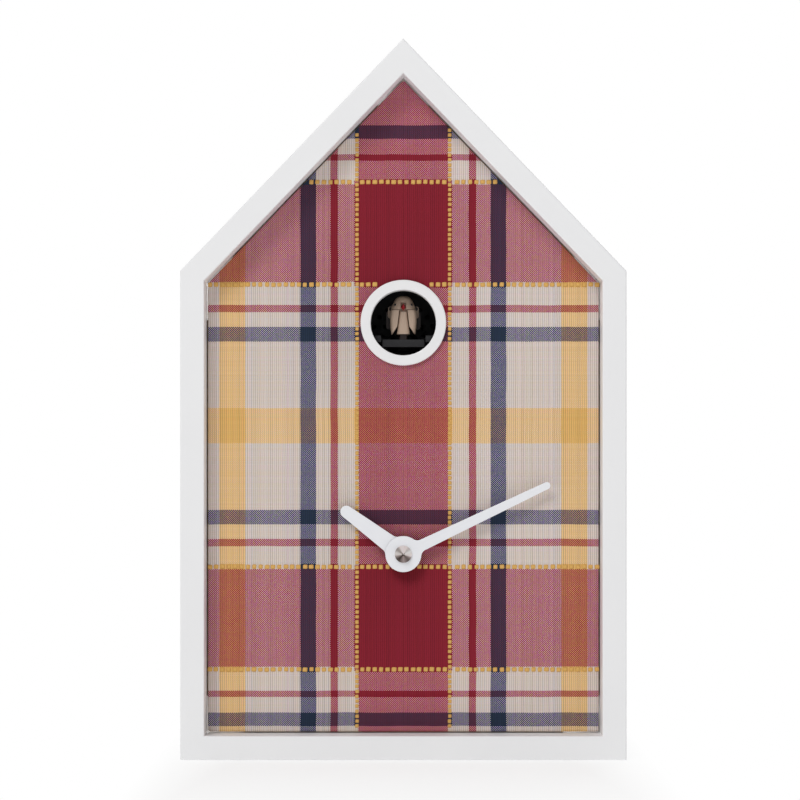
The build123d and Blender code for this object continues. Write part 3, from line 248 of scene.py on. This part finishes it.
# The cone nut's painted reflections by angle: one broad wave brighter on one side, a quarter-turn wave
# of light and dark sectors, and turning rings.
CONE_TURN = 0.35
CONE_WAVE, CONE_QUARTERS, CONE_RINGS = 0.3, 0.22, 0.12
# Painted shade towards the tip: full within the first radius, gone beyond the second.
CONE_TIP = (0.5 * MM, 1.1 * MM)
CONE_TIP_SHADE = 0.35
CONE_REFLECTION_TONES = [(0.05, (0.05, 0.04, 0.035)), (0.45, (0.4, 0.36, 0.34)), (0.75, (0.95, 0.94, 0.93))]


def spun_metal():
    """Turned cone: fine rings, and painted reflections in light and dark sectors as on a spun face, with
    painted shade near the tip.
    """
    s = Shader("spun_metal", roughness=0.24, metallic=0.5, Anisotropic=0.7)
    x, _, z = s.axes(s.place())
    across, up = s.math("SUBTRACT", x, HANDS.x), s.math("SUBTRACT", z, HANDS.z)
    angle = s.math("ARCTAN2", up, across)
    radius = s.math("SQRT", s.math("ADD", s.math("MULTIPLY", across, across),
                                   s.math("MULTIPLY", up, up)))
    wave = s.math("SINE", s.math("ADD", angle, CONE_TURN))
    rings = s.noise(s.joined(s.math("MULTIPLY", radius, 9000), 0.0), 1.0, 2)
    quarters = s.math("COSINE", s.math("MULTIPLY", angle, 4.0))
    painted_reflection = s.math("ADD", s.math("MULTIPLY", wave, CONE_WAVE),
                  s.math("MULTIPLY", quarters, CONE_QUARTERS))
    painted_reflection = s.math("ADD", painted_reflection, s.math("MULTIPLY", rings, CONE_RINGS))
    painted_tip_shade = s.remap(radius, *CONE_TIP, CONE_TIP_SHADE, 0.0)
    s.colour(s.ramp(s.math("SUBTRACT", s.math("ADD", painted_reflection, 0.5), painted_tip_shade), CONE_REFLECTION_TONES))
    s.bump(rings, 0.00004, 0.6)
    return s.material


# Checked cloth, in millimetres. A stripe is given by where it starts, measured from the middle of
# the cloth both ways: across the cloth for the warp; up and down from the middle yellow band for the
# weft, whose pattern turns back in the middle of the broad red.
THREAD = 0.565
WARP_LIMIT, WEFT_LIMIT = 110.0, 104.6
WHITE = (0.735, 0.66, 0.6)
RED = (0.26, 0.0125, 0.029)
BLUE = (0.0165, 0.032, 0.066)
YELLOW = (0.8, 0.5, 0.165)
WARP_STRIPES = [(0, RED), (24.1, WHITE), (35.6, RED), (39.4, WHITE), (47.3, BLUE), (55.6, WHITE),
                (85.8, YELLOW), (100.0, WHITE)]
WEFT_STRIPES = [(0, YELLOW), (9.0, WHITE), (45.4, BLUE), (53.3, WHITE), (61.6, RED),
                (65.2, WHITE), (75.4, RED)]
WEFT_MIDDLE_Z = FLOOR_Z + 180.1 * MM
# Chains of yellow floats: the middle of each chain and half its width.
WARP_CHAIN, WEFT_CHAIN = (25.2, 1.1), (76.7, 1.3)
# Threads wander by up to half of WANDER, in waves per millimetre across and along themselves.
WANDER, WAVES_ACROSS, WAVES_ALONG = 0.8, 0.02, 0.05
# Each thread's own tint, and the range of its depth of dye.
YARN_TINTS = [(0.0, (1.0, 0.88, 0.95)), (0.25, (1.0, 1.0, 1.0)), (0.5, (1.0, 0.97, 0.85)),
              (0.75, (0.93, 0.95, 1.0)), (1.0, (1.0, 0.9, 0.8))]
WARP_DEPTHS, WEFT_DEPTHS = (0.88, 1.06), (0.97, 1.02)
WARP_SEED, WEFT_SEED, DEPTH_SEED = 3.7, 9.1, 31.7
# Half-sizes of the patch where the top thread shows, in thread pitches, across and up, and where
# its edge fades, as shares of that size.
WARP_DOT, WEFT_DOT = (0.46, 0.4), (0.4, 0.3)
DOT_EDGE = (0.82, 1.2)
# How much red, green and blue a dark thread gains beside a pale one, and the pale dots' two tints.
DARK_LIFT = (0.85, 1.15, 2.3)
FLECK_TINTS = (1.0, 0.8, 1.3), (1.0, 1.08, 0.8)
FLECK_GAIN = 2.0
# Painted shade in the groove between ribs starts and is full at these shares of a rib from its middle.
GROOVE_EDGE = (0.28, 0.48)
GROOVE_SHADE_DEPTHS = (0.4, 0.85)
GROOVE_SHADE = (0.42, 0.36, 0.34)


def luminance(s, colour):
    return s.node("ShaderNodeRGBToBW", {0: colour}).outputs[0]


def within(s, value, band):
    """One inside a band given as its middle and half its width, and nought outside."""
    return s.math("COMPARE", value, band[0], band[1])


def thread_colour(s, at, limit, stripes, index, seed, depths):
    """A thread's dyed colour from its distance, with its own faint tint and depth of dye."""
    dye = s.ramp(s.math("DIVIDE", at, limit),
                 [(start / limit, colour) for start, colour in stripes], "CONSTANT")
    chance = s.random(s.math("ADD", index, seed))
    tinted = s.mix(1.0, dye, s.ramp(chance, YARN_TINTS), "MULTIPLY")
    depth = s.remap(s.random(s.math("ADD", index, seed + DEPTH_SEED)), 0.0, 1.0, *depths)
    return s.mix(1.0, tinted, s.joined(depth, depth, depth), "MULTIPLY")


def cloth():
    """Plain weave of coloured threads: each crossing shows the warp or the weft in turn."""
    s = Shader("dial_fabric", roughness=0.85, Sheen_Weight=0.12, Sheen_Roughness=0.5,
               Specular_IOR_Level=0.2)
    x, _, z = s.axes(s.scaled(s.place(), (1000, 1000, 1000)))
    z = s.math("SUBTRACT", z, WEFT_MIDDLE_Z / MM)
    # Threads wander a little: the warp as it goes up, the weft as it goes across.
    sway = s.noise(s.joined(s.math("MULTIPLY", x, WAVES_ACROSS), s.math("MULTIPLY", z, WAVES_ALONG)),
                   1.0, 2)
    dip = s.noise(s.joined(s.math("MULTIPLY", x, WAVES_ALONG), s.math("MULTIPLY", z, WAVES_ACROSS), 7.0),
                  1.0, 2)
    x = s.math("ADD", x, s.math("MULTIPLY", s.math("SUBTRACT", sway, 0.5), WANDER))
    z = s.math("ADD", z, s.math("MULTIPLY", s.math("SUBTRACT", dip, 0.5), WANDER))
    column = s.math("FLOOR", s.math("DIVIDE", x, THREAD))
    row = s.math("FLOOR", s.math("DIVIDE", z, THREAD))
    warp_at = s.math("ABSOLUTE", s.math("MULTIPLY", s.math("ADD", column, 0.5), THREAD))
    weft_at = s.math("PINGPONG", s.math("MULTIPLY", s.math("ADD", row, 0.5), THREAD), WEFT_LIMIT)
    warp = thread_colour(s, warp_at, WARP_LIMIT, WARP_STRIPES, column, WARP_SEED, WARP_DEPTHS)
    weft = thread_colour(s, weft_at, WEFT_LIMIT, WEFT_STRIPES, row, WEFT_SEED, WEFT_DEPTHS)
    # Under the yellow floats only the other set of threads shows.
    warp, weft = (s.mix(within(s, warp_at, WARP_CHAIN), warp, weft),
                  s.mix(within(s, weft_at, WEFT_CHAIN), weft, warp))
    over = s.math("PINGPONG", s.math("ADD", column, row), 1.0)
    # The darker thread fills the ground, lit up a little by a paler one beside it, and the paler
    # one shows as a dot where it lies on top. The tightly packed warp makes the larger dots.
    warp_light, weft_light = luminance(s, warp), luminance(s, weft)
    warp_darker = s.math("LESS_THAN", warp_light, weft_light)
    dark = s.mix(warp_darker, weft, warp)
    pale = s.mix(warp_darker, warp, weft)
    pale_on_top = s.math("ABSOLUTE", s.math("SUBTRACT", over, warp_darker))
    contrast = s.math("ABSOLUTE", s.math("SUBTRACT", warp_light, weft_light))
    lift = s.joined(*(s.math("ADD", s.math("MULTIPLY", contrast, gain), 1.0)
                      for gain in DARK_LIFT))
    ground = s.mix(1.0, dark, lift, "MULTIPLY")
    # Beside a darker thread each pale dot takes a slightly different tint.
    fleck = s.random(s.math("ADD", s.math("MULTIPLY", column, 7.31), s.math("MULTIPLY", row, 3.17)))
    tint = s.mix(s.math("MULTIPLY", contrast, FLECK_GAIN), (1, 1, 1), s.mix(fleck, *FLECK_TINTS))
    pale = s.mix(1.0, pale, tint, "MULTIPLY")
    across = s.math("SUBTRACT", s.math("FRACT", s.math("DIVIDE", x, THREAD)), 0.5)
    up = s.math("SUBTRACT", s.math("FRACT", s.math("DIVIDE", z, THREAD)), 0.5)
    wide = s.remap(over, 0.0, 1.0, WEFT_DOT[0], WARP_DOT[0])
    high = s.remap(over, 0.0, 1.0, WEFT_DOT[1], WARP_DOT[1])
    u, v = s.math("DIVIDE", across, wide), s.math("DIVIDE", up, high)
    away = s.math("SQRT", s.math("ADD", s.math("MULTIPLY", u, u), s.math("MULTIPLY", v, v)))
    cover = s.remap(away, *DOT_EDGE, 1.0, 0.0)
    surface = s.mix(s.math("MULTIPLY", cover, pale_on_top), ground, pale)
    # Ribs: pairs of warp threads stand up, with a line of painted shade of uneven depth between them.
    rib = s.math("DIVIDE", x, 2 * THREAD)
    pair = s.math("ABSOLUTE", s.math("SUBTRACT", s.math("FRACT", rib), 0.5))
    rib_shade_depth = s.random(s.math("ROUND", rib))
    painted_groove_shade = s.remap(pair, *GROOVE_EDGE, 0.0, s.remap(rib_shade_depth, 0.0, 1.0, *GROOVE_SHADE_DEPTHS))
    surface = s.mix(painted_groove_shade, surface, s.mix(1.0, surface, GROOVE_SHADE, "MULTIPLY"))
    s.colour(surface)
    dome = s.remap(away, 0.0, 1.3, 1.0, 0.0)
    ridge = s.remap(pair, 0.0, 0.5, 1.0, 0.0)
    s.bump(s.math("ADD", s.math("MULTIPLY", dome, 0.5), s.math("MULTIPLY", ridge, 0.7)),
           0.00016, 0.6)
    return s.material


def yarn():
    """Soft yellow yarn of the floats, with fine fibres and painted shade darkening their roots."""
    s = Shader("yellow_yarn", roughness=0.8, Sheen_Weight=0.2, Specular_IOR_Level=0.2)
    place = s.place()
    fibres = s.noise(place, 4200, 3)
    _, y, _ = s.axes(place)
    # Painted shade: the yarn darkens towards the cloth, where the floats dive in.
    depth = s.remap(y, FABRIC_Y - 0.7 * MM, FABRIC_Y, 1.0, 0.45)
    body = s.mix(fibres, (0.62, 0.34, 0.075), (0.86, 0.55, 0.18))
    s.colour(s.mix(s.math("SUBTRACT", 1.0, depth), body, (0.42, 0.16, 0.03)))
    s.bump(fibres, 0.0001, 0.5)
    return s.material


def hand_paint():
    """White stove enamel on stamped aluminium."""
    s = Shader("hand_paint", roughness=0.38)
    place = s.place()
    s.colour(s.mix(s.noise(place, 120, 3), (0.83, 0.84, 0.88), (0.88, 0.885, 0.91)))
    s.roughness(s.remap(s.noise(place, 400, 3), 0.3, 0.7, 0.32, 0.45))
    s.bump(s.noise(place, 1500, 2), 0.00002, 0.4)
    return s.material


# The copper band starts this far from a cell's middle, and its bare end this far.
BAND_START, BARE_END = 9 * MM, 24.2 * MM
# The upper of the two cuckoo cells, which points the other way, lies within this of their top.
UPPER_CELL = 27 * MM


def battery_skin():
    """Printed sleeve: a dark barrel with a copper-coloured band at one end and bare metal ends."""
    s = Shader("battery_skin", roughness=0.3, metallic=0.35)
    place = s.place()
    x, _, z = s.axes(place)
    flip = s.math("COMPARE", z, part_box("cuckoo_cells")[1].z, UPPER_CELL)
    along = s.math("MULTIPLY", x, s.math("SUBTRACT", s.math("MULTIPLY", flip, 2.0), 1.0))
    grain = s.noise(place, 700, 3)
    body = s.mix(grain, (0.018, 0.022, 0.03), (0.03, 0.036, 0.048))
    band = s.mix(grain, (0.55, 0.26, 0.09), (0.7, 0.36, 0.14))
    surface = s.mix(s.math("GREATER_THAN", along, BAND_START), body, band)
    end = s.math("GREATER_THAN", s.math("ABSOLUTE", x), BARE_END)
    s.colour(s.mix(end, surface, (0.6, 0.6, 0.6)))
    s.roughness(s.remap(s.noise(place, 300, 2), 0.3, 0.7, 0.22, 0.4))
    s.bump(grain, 0.00002, 0.4)
    return s.material


def circuit():
    """Green solder mask with paler tracks in a grid beneath it."""
    s = Shader("circuit", roughness=0.35)
    place = s.place()
    cells = s.node("ShaderNodeTexBrick",
                   {"Vector": place, "Scale": 260.0, "Color1": (0.02, 0.16, 0.06, 1),
                    "Color2": (0.03, 0.2, 0.08, 1), "Mortar": (0.07, 0.34, 0.14, 1)})
    s.colour(s.mix(s.noise(place, 300, 2), cells.outputs[0], (0.015, 0.12, 0.05)))
    s.bump(cells.outputs[1], 0.00003, 0.5)
    return s.material


WIRE_PITCH = 0.12 * MM


def copper_winding():
    """Enamelled copper wire, wound side by side, with painted shade between the turns and a painted
    highlight along each.
    """
    s = Shader("copper", roughness=0.3, metallic=1.0)
    place = s.place()
    x, _, _ = s.axes(place)
    turn_shade_and_relief = s.math("SINE", s.math("MULTIPLY", x, 2 * math.pi / WIRE_PITCH))
    # Painted shade and highlight: each turn is dark at one side and bright along its crown.
    s.colour(s.mix(s.remap(turn_shade_and_relief, -1.0, 1.0, 0.0, 1.0), (0.35, 0.12, 0.04), (0.8, 0.38, 0.18)))
    s.bump(turn_shade_and_relief, 0.00003, 0.7)
    return s.material


def wire_skin():
    """Red PVC insulation, slightly uneven in shade along its length."""
    s = Shader("wire_pvc", roughness=0.4)
    place = s.place()
    lengths = s.noise(place, 260, 2)
    s.colour(s.mix(lengths, (0.42, 0.012, 0.014), (0.5, 0.03, 0.03)))
    s.bump(s.noise(place, 1800, 2), 0.00003, 0.4)
    return s.material


def painted(name, colour, roughness, spread=0.08):
    """Brush-painted moulding: soft strokes up and down and slightly uneven gloss."""
    s = Shader(name, roughness=roughness)
    place = s.place()
    strokes = s.noise(s.scaled(place, (1.0, 1.0, 0.25)), 1500, 3)
    s.colour(s.mix(strokes, shade(colour, 1 - spread), shade(colour, 1 + spread)))
    s.roughness(s.remap(strokes, 0.3, 0.7, roughness - 0.08, roughness + 0.08))
    s.bump(strokes, 0.00004, 0.5)
    return s.material


SLOTS = {
    "white_lacquer": lacquer(),
    "bare_wood": bare_wood(),
    "dial_fabric": cloth(),
    "white_plastic": moulded("white_plastic", (0.86, 0.855, 0.86), 0.4, 0.00002, 0.02),
    "hand_paint": hand_paint(),
    "steel": metal("steel", (0.6, 0.6, 0.62), 0.28, (1, 0.2, 1)),
    "plated_steel": metal("plated_steel", (0.68, 0.68, 0.66), 0.35),
    "spun_metal": spun_metal(),
    "brass": metal("brass", (0.75, 0.52, 0.2), 0.3, (1, 6, 1)),
    "rubber": moulded("rubber", (0.03, 0.03, 0.03), 0.85, 0.00006),
    "black_plastic": moulded("black_plastic", (0.022, 0.022, 0.025), 0.5),
    "grey_plastic": moulded("grey_plastic", (0.009, 0.009, 0.011), 0.6),
    "gear_plastic": moulded("gear_plastic", (0.72, 0.70, 0.62), 0.4, 0.00002),
    "battery_skin": battery_skin(),
    "circuit": circuit(),
    "stator_steel": metal("stator_steel", (0.45, 0.45, 0.47), 0.4, (1, 1, 0.1)),
    "copper": copper_winding(),
    "motor_can": metal("motor_can", (0.58, 0.58, 0.6), 0.3, (0.1, 1, 1)),
    "speaker_steel": moulded("speaker_steel", (0.028, 0.028, 0.03), 0.35, 0.00003),
    "paper_cone": moulded("paper_cone", (0.03, 0.028, 0.026), 0.9, 0.0002),
    "bird_paint": painted("bird_paint", (0.52, 0.385, 0.29), 0.5),
    "beak_red": painted("beak_red", (0.5, 0.006, 0.02), 0.45),
    "eye_black": painted("eye_black", (0.03, 0.026, 0.024), 0.15, 0.3),
    "brown_plastic": moulded("brown_plastic", (0.03, 0.014, 0.012), 0.45),
    "wire_pvc": wire_skin(),
}

# The cuckoo's gears are moulded in black, unlike the movement's.
DARK_GEARS = {"drive_gear": "black_plastic", "motor_pinion": "black_plastic"}
for part in frame["record"]["subparts"]:
    mesh = frame["nodes"][part["node"]].data
    mesh.materials.clear()
    mesh.materials.append(SLOTS[DARK_GEARS.get(part["node"], part["material_slot"])])


# ---------------------------------------------------------------- mesh helpers


def piece(name, mesh_or_bmesh, material, body, smooth=True):
    """Object from a mesh, with its material, riding on a body."""
    if isinstance(mesh_or_bmesh, bmesh.types.BMesh):
        mesh = bpy.data.meshes.new(name)
        mesh_or_bmesh.to_mesh(mesh)
        mesh_or_bmesh.free()
    else:
        mesh = mesh_or_bmesh
    mesh.materials.append(material)
    if smooth:
        mesh.polygons.foreach_set("use_smooth", [True] * len(mesh.polygons))
    obj = bpy.data.objects.new(name, mesh)
    bpy.context.scene.collection.objects.link(obj)
    if body:
        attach(obj, body)
    return obj


def house_corners(inset):
    """Corners of the case's outline moved inwards, from the bottom left round to the left eave."""
    half = HALF_WIDTH - inset
    apex = APEX_Z - inset / math.cos(SLOPE)
    eaves = apex - half * math.tan(SLOPE)
    low = FLOOR_Z + inset
    return [Vector(corner) for corner in
            ((-half, low), (half, low), (half, eaves), (0, apex), (-half, eaves))]


def house_loop(inset, corner_radius, per_side=24, per_corner=5):
    """Outline points with rounded corners; every loop has the same number of points."""
    corners = house_corners(inset)
    points = []
    for index, corner in enumerate(corners):
        before = (corners[index - 1] - corner).normalized()
        after = (corners[(index + 1) % 5] - corner).normalized()
        half_angle = before.angle(after) / 2
        back = corner_radius / math.tan(half_angle)
        centre = corner + (before + after).normalized() * corner_radius / math.sin(half_angle)
        first, last = corner + before * back - centre, corner + after * back - centre
        sweep = first.angle_signed(last)
        for step in range(per_corner + 1):
            turn = Matrix.Rotation(-sweep * step / per_corner, 2)
            points.append(centre + turn @ first)
        start = points[-1]
        following = corners[(index + 1) % 5]
        next_before = (corner - following).normalized()
        next_after = (corners[(index + 2) % 5] - following).normalized()
        next_back = corner_radius / math.tan(next_before.angle(next_after) / 2)
        end = following + next_before * next_back
        for step in range(1, per_side):
            points.append(start.lerp(end, step / per_side))
    return points


def circle_loop(centre, radius, count):
    """Points on a circle in the XZ plane."""
    return [Vector((centre.x + radius * math.cos(2 * math.pi * i / count),
                    centre.z + radius * math.sin(2 * math.pi * i / count))) for i in range(count)]


def polygon_area(corners):
    """Area inside a closed outline."""
    pairs = zip(corners, corners[1:] + corners[:1])
    return abs(sum(a.x * b.y - b.x * a.y for a, b in pairs)) / 2


# ---------------------------------------------------------------- fabric

WRAP_ROUND = 1.1 * MM
WRAP_CORNER = 1.6 * MM
HOLE_ROUND, HOLE_TUCK = 0.3 * MM, 0.5 * MM
FOLD_STEPS = 5


def fabric_mesh():
    """Cloth over the panel: a flat face, a rounded fold along every edge and tucked-in holes."""
    bm = bmesh.new()

    def ring(loop, y):
        return [bm.verts.new((p.x, y, p.y)) for p in loop]

    def bridge(outer, inner):
        count = len(outer)
        for i in range(count):
            j = (i + 1) % count
            bm.faces.new((outer[i], outer[j], inner[j], inner[i]))

    fold = [ring(house_loop(FABRIC_INSET, WRAP_CORNER), PANEL_BACK_Y)]
    for step in range(FOLD_STEPS + 1):
        angle = math.pi / 2 * step / FOLD_STEPS
        inset = FABRIC_INSET + WRAP_ROUND * (1 - math.cos(angle))
        y = FABRIC_Y + WRAP_ROUND * (1 - math.sin(angle))
        fold.append(ring(house_loop(inset, WRAP_CORNER), y))
    for outer, inner in zip(fold, fold[1:]):
        bridge(outer, inner)
    edges = [bm.edges.get((a, b)) for a, b in zip(fold[-1], fold[-1][1:] + fold[-1][:1])]
    for centre, radius, count in ((PORTHOLE, RING_HOLE, 72), (HANDS, BUSH_HOLE, 32)):
        face_ring = ring(circle_loop(centre, radius + HOLE_ROUND, count), FABRIC_Y)
        tuck = ring(circle_loop(centre, radius, count), FABRIC_Y + HOLE_TUCK)
        bridge(face_ring, tuck)
        edges += [bm.edges.get((a, b)) for a, b in zip(face_ring, face_ring[1:] + face_ring[:1])]
    bmesh.ops.triangle_fill(bm, edges=edges, use_beauty=True, use_dissolve=False)
    bmesh.ops.recalc_face_normals(bm, faces=bm.faces)
    # The face looks forwards.
    flat = max(bm.faces, key=lambda f: f.calc_area())
    if flat.normal.y > 0:
        bmesh.ops.reverse_faces(bm, faces=bm.faces)
    return bm


fabric = piece("fabric_sheet", fabric_mesh(), SLOTS["dial_fabric"], "case")
WRAP_DEPTH = PANEL_BACK_Y - FABRIC_Y
CLOTH_INSET = FABRIC_INSET - WRAP_DEPTH
CUT_AREA = polygon_area(house_corners(CLOTH_INSET)) - math.pi * (RING_HOLE ** 2 + BUSH_HOLE ** 2)


# ---------------------------------------------------------------- yellow floats

# How far a float rises in front of the cloth and roots behind its face, and how far its middle keeps
# from the cloth's edge, from the ring's hole and, where chains cross, from the other chain.
FLOAT_RISE, FLOAT_ROOT = 0.62 * MM, 0.02 * MM
FLOAT_MARGIN, RING_MARGIN, CROSSING_MARGIN = 0.9 * MM, 3.2 * MM, 1.6 * MM
# Pitch along the chain, and width and height, for the horizontal and the vertical chains.
WEFT_PITCH, WEFT_FLOAT = 3.45 * MM, (2.5, 2.45)
WARP_PITCH, WARP_FLOAT = 2.7 * MM, (2.0, 2.05)
# A float is a grid of cells, arched along its run and swollen across, over a few strands. Its ends are
# pinched, and it leans by chance.
FLOAT_CELLS = 8
ARCH_POWER, SWELL_POWER = 3.2, 2.6
STRANDS, STRAND_RELIEF = 3, 0.09
PINCH, LEAN = 0.16, 0.08


def inside_fabric(x, z, margin):
    """True where a float at x, z lies on the cloth, clear of its edges and of the ring."""
    corners = house_corners(FABRIC_INSET + margin)
    roof = corners[3].y - abs(x) * math.tan(SLOPE)
    if abs(x) > corners[1].x or z < corners[0].y or z > roof:
        return False
    return math.hypot(x - PORTHOLE.x, z - PORTHOLE.z) > RING_HOLE + RING_MARGIN


def add_float(bm, x, z, width, height, rise, along, rng):
    """A pillow of yarn whose strands run along X or Z; its ends dive into the cloth."""
    lean = rng.uniform(-LEAN, LEAN)
    grid = []
    for row in range(FLOAT_CELLS + 1):
        line = []
        for column in range(FLOAT_CELLS + 1):
            u, v = 2 * column / FLOAT_CELLS - 1, 2 * row / FLOAT_CELLS - 1
            run, side = (u, v) if along == "x" else (v, u)
            arch = math.sqrt(max(0.0, 1 - abs(run) ** ARCH_POWER))
            swell = math.sqrt(max(0.0, 1 - abs(side) ** SWELL_POWER))
            strands = 1 + STRAND_RELIEF * math.cos(side * math.pi * STRANDS)
            pinch = 1 - PINCH * abs(run) ** 3
            du, dv = (u, v * pinch) if along == "x" else (u * pinch, v)
            depth = rise * arch * swell * strands
            line.append(bm.verts.new((x + (du + lean * v) * width / 2, FABRIC_Y + FLOAT_ROOT - depth,
                                      z + (dv - lean * u) * height / 2)))
        grid.append(line)
    for row in range(FLOAT_CELLS):
        for column in range(FLOAT_CELLS):
            bm.faces.new((grid[row][column], grid[row][column + 1], grid[row + 1][column + 1],
                          grid[row + 1][column]))


def float_chains():
    """Two vertical and four horizontal chains of floats along the edges of the broad reds."""
    rng = random.Random(5)
    across, upright = bmesh.new(), bmesh.new()
    for rise in (-2 * WEFT_LIMIT + WEFT_CHAIN[0], -WEFT_CHAIN[0], WEFT_CHAIN[0],
                 2 * WEFT_LIMIT - WEFT_CHAIN[0]):
        z = WEFT_MIDDLE_Z + rise * MM
        for index in range(-32, 33):
            x = (index + 0.5) * WEFT_PITCH + rng.uniform(-0.2, 0.2) * MM
            if abs(abs(x) - WARP_CHAIN[0] * MM) < CROSSING_MARGIN:
                continue
            if inside_fabric(x, z, FLOAT_MARGIN):
                width = (WEFT_FLOAT[0] + rng.uniform(-0.25, 0.3)) * MM
                add_float(across, x, z + rng.uniform(-0.12, 0.12) * MM, width,
                          (WEFT_FLOAT[1] + rng.uniform(-0.15, 0.15)) * MM, FLOAT_RISE, "x", rng)
    for side in (-1, 1):
        for index in range(-64, 72):
            z = WEFT_MIDDLE_Z + (index + 0.5) * WARP_PITCH + rng.uniform(-0.15, 0.15) * MM
            x = side * WARP_CHAIN[0] * MM + rng.uniform(-0.1, 0.1) * MM
            if inside_fabric(x, z, FLOAT_MARGIN):
                add_float(upright, x, z, (WARP_FLOAT[0] + rng.uniform(-0.1, 0.1)) * MM,
                          (WARP_FLOAT[1] + rng.uniform(-0.15, 0.2)) * MM, FLOAT_RISE, "z", rng)
    for bm in (across, upright):
        bmesh.ops.recalc_face_normals(bm, faces=bm.faces)
    return across, upright


YARN = yarn()
across, upright = float_chains()
weft_floats = piece("weft_floats", across, YARN, "case")
warp_floats = piece("warp_floats", upright, YARN, "case")
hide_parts("fabric_face")


# ---------------------------------------------------------------- stage, light and camera

FLOOR_REACH, FLOOR_GAP = 6.0, 0.2 * MM
# Within this share of the clock's width the floor takes its shadow and is mixed with this much glow.
# From there it fades into pure white over these distances, to the sides and to the front and back.
SHADOW_SHARE = 0.75
FLOOR_GLOW = 0.65
FLOOR_FADE = (0.045, 0.32)
AMBIENT = 0.37
# Softboxes: place and aim from the clock's middle, width and height, and power in watts.
SOFTBOXES = {
    "key": ((-1.3, -2.8, 2.8), (0, 0, 0), (1.6, 1.6), 62),
    "low": ((0.15, -1.0, -0.5), (0, 0, -0.15), (1.6, 0.4), 6.1),
    "top": ((0.1, -0.2, 1.5), (0, 0, 0), (1.0, 0.8), 1.2),
    "back": ((0.4, 1.4, 0.6), (0, 0, 0), (1.0, 1.0), 10),
}
# The camera stands level, low and far, and its shift puts the clock in the middle of the frame.
CAMERA_DISTANCE = 1.2
CAMERA_HEIGHT = 0.155
FIELD_WIDTH = 0.42987
SENSOR_WIDTH = 36
CAMERA_SHIFT = (-0.0042, 0.0898)


def stage_floor():
    """Pale floor that takes the clock's soft shadow, lightened by a painted glow, and glows fully white
    further off to fade into the backdrop.
    """
    bm = bmesh.new()
    bmesh.ops.create_grid(bm, x_segments=1, y_segments=1, size=FLOOR_REACH)
    bmesh.ops.translate(bm, vec=(0, 0, FLOOR_Z - FLOOR_GAP), verts=bm.verts)
    s = Shader("stage_floor", roughness=0.9, Specular_IOR_Level=0.0)
    x, y, _ = s.axes(s.place())
    beside = s.math("SUBTRACT", s.math("ABSOLUTE", x), SHADOW_SHARE * HALF_WIDTH)
    from_middle = s.math("ABSOLUTE", s.math("SUBTRACT", y, FRONT_Y / 2))
    beyond = s.math("SUBTRACT", from_middle, -FRONT_Y / 2)
    fade = s.math("MAXIMUM", s.math("DIVIDE", beside, FLOOR_FADE[0]),
                  s.math("DIVIDE", beyond, FLOOR_FADE[1]))
    s.colour((0.93, 0.93, 0.93))
    # Painted light: the floor glows partly beside the clock and fully further off.
    glow = s.node("ShaderNodeEmission", {"Color": (1, 1, 1, 1), "Strength": 1.0})
    blend = s.node("ShaderNodeMixShader",
                   {0: s.remap(fade, 0.0, 1.0, FLOOR_GLOW, 1.0), 1: s.main.outputs[0],
                    2: glow.outputs[0]})
    s.link(blend.outputs[0], s.tree.nodes["Material Output"].inputs["Surface"])
    floor = piece("stage_floor", bm, s.material, None, smooth=False)


def softbox(name, place, target, size, power):
    """Rectangular light that looks at its target."""
    data = bpy.data.lights.new(name, "AREA")
    data.shape, data.size, data.size_y, data.energy = "RECTANGLE", size[0], size[1], power
    light = bpy.data.objects.new(name, data)
    bpy.context.scene.collection.objects.link(light)
    light.location = place
    light.rotation_euler = (target - place).to_track_quat("-Z", "Y").to_euler()


def studio_world():
    """White surroundings, seen brighter than they light."""
    world = bpy.data.worlds.new("studio")
    bpy.context.scene.world = world
    world.use_nodes = True
    tree = world.node_tree
    seen, lit = tree.nodes["Background"], tree.nodes.new("ShaderNodeBackground")
    for background, strength in ((seen, 1.0), (lit, AMBIENT)):
        background.inputs["Color"].default_value = (1, 1, 1, 1)
        background.inputs["Strength"].default_value = strength
    path, blend = tree.nodes.new("ShaderNodeLightPath"), tree.nodes.new("ShaderNodeMixShader")
    tree.links.new(path.outputs["Is Camera Ray"], blend.inputs[0])
    tree.links.new(lit.outputs[0], blend.inputs[1])
    tree.links.new(seen.outputs[0], blend.inputs[2])
    tree.links.new(blend.outputs[0], tree.nodes["World Output"].inputs["Surface"])


def studio_camera():
    """Level camera in front of the clock."""
    data = bpy.data.cameras.new("camera")
    data.sensor_width = SENSOR_WIDTH
    data.lens = SENSOR_WIDTH * CAMERA_DISTANCE / FIELD_WIDTH
    data.shift_x, data.shift_y = CAMERA_SHIFT
    camera = bpy.data.objects.new("camera", data)
    camera.location = (0, FRONT_Y - CAMERA_DISTANCE, FLOOR_Z + CAMERA_HEIGHT)
    camera.rotation_euler = (math.pi / 2, 0, 0)
    bpy.context.scene.collection.objects.link(camera)
    bpy.context.scene.camera = camera


stage_floor()
studio_world()
CENTRE = Vector((0, 0, (FLOOR_Z + APEX_Z) / 2))
for name, (place, aim, size, power) in SOFTBOXES.items():
    softbox(name, CENTRE + Vector(place), CENTRE + Vector(aim), size, power)
studio_camera()
bpy.context.scene.view_settings.view_transform = "Standard"
bpy.context.scene.view_settings.look = "None"
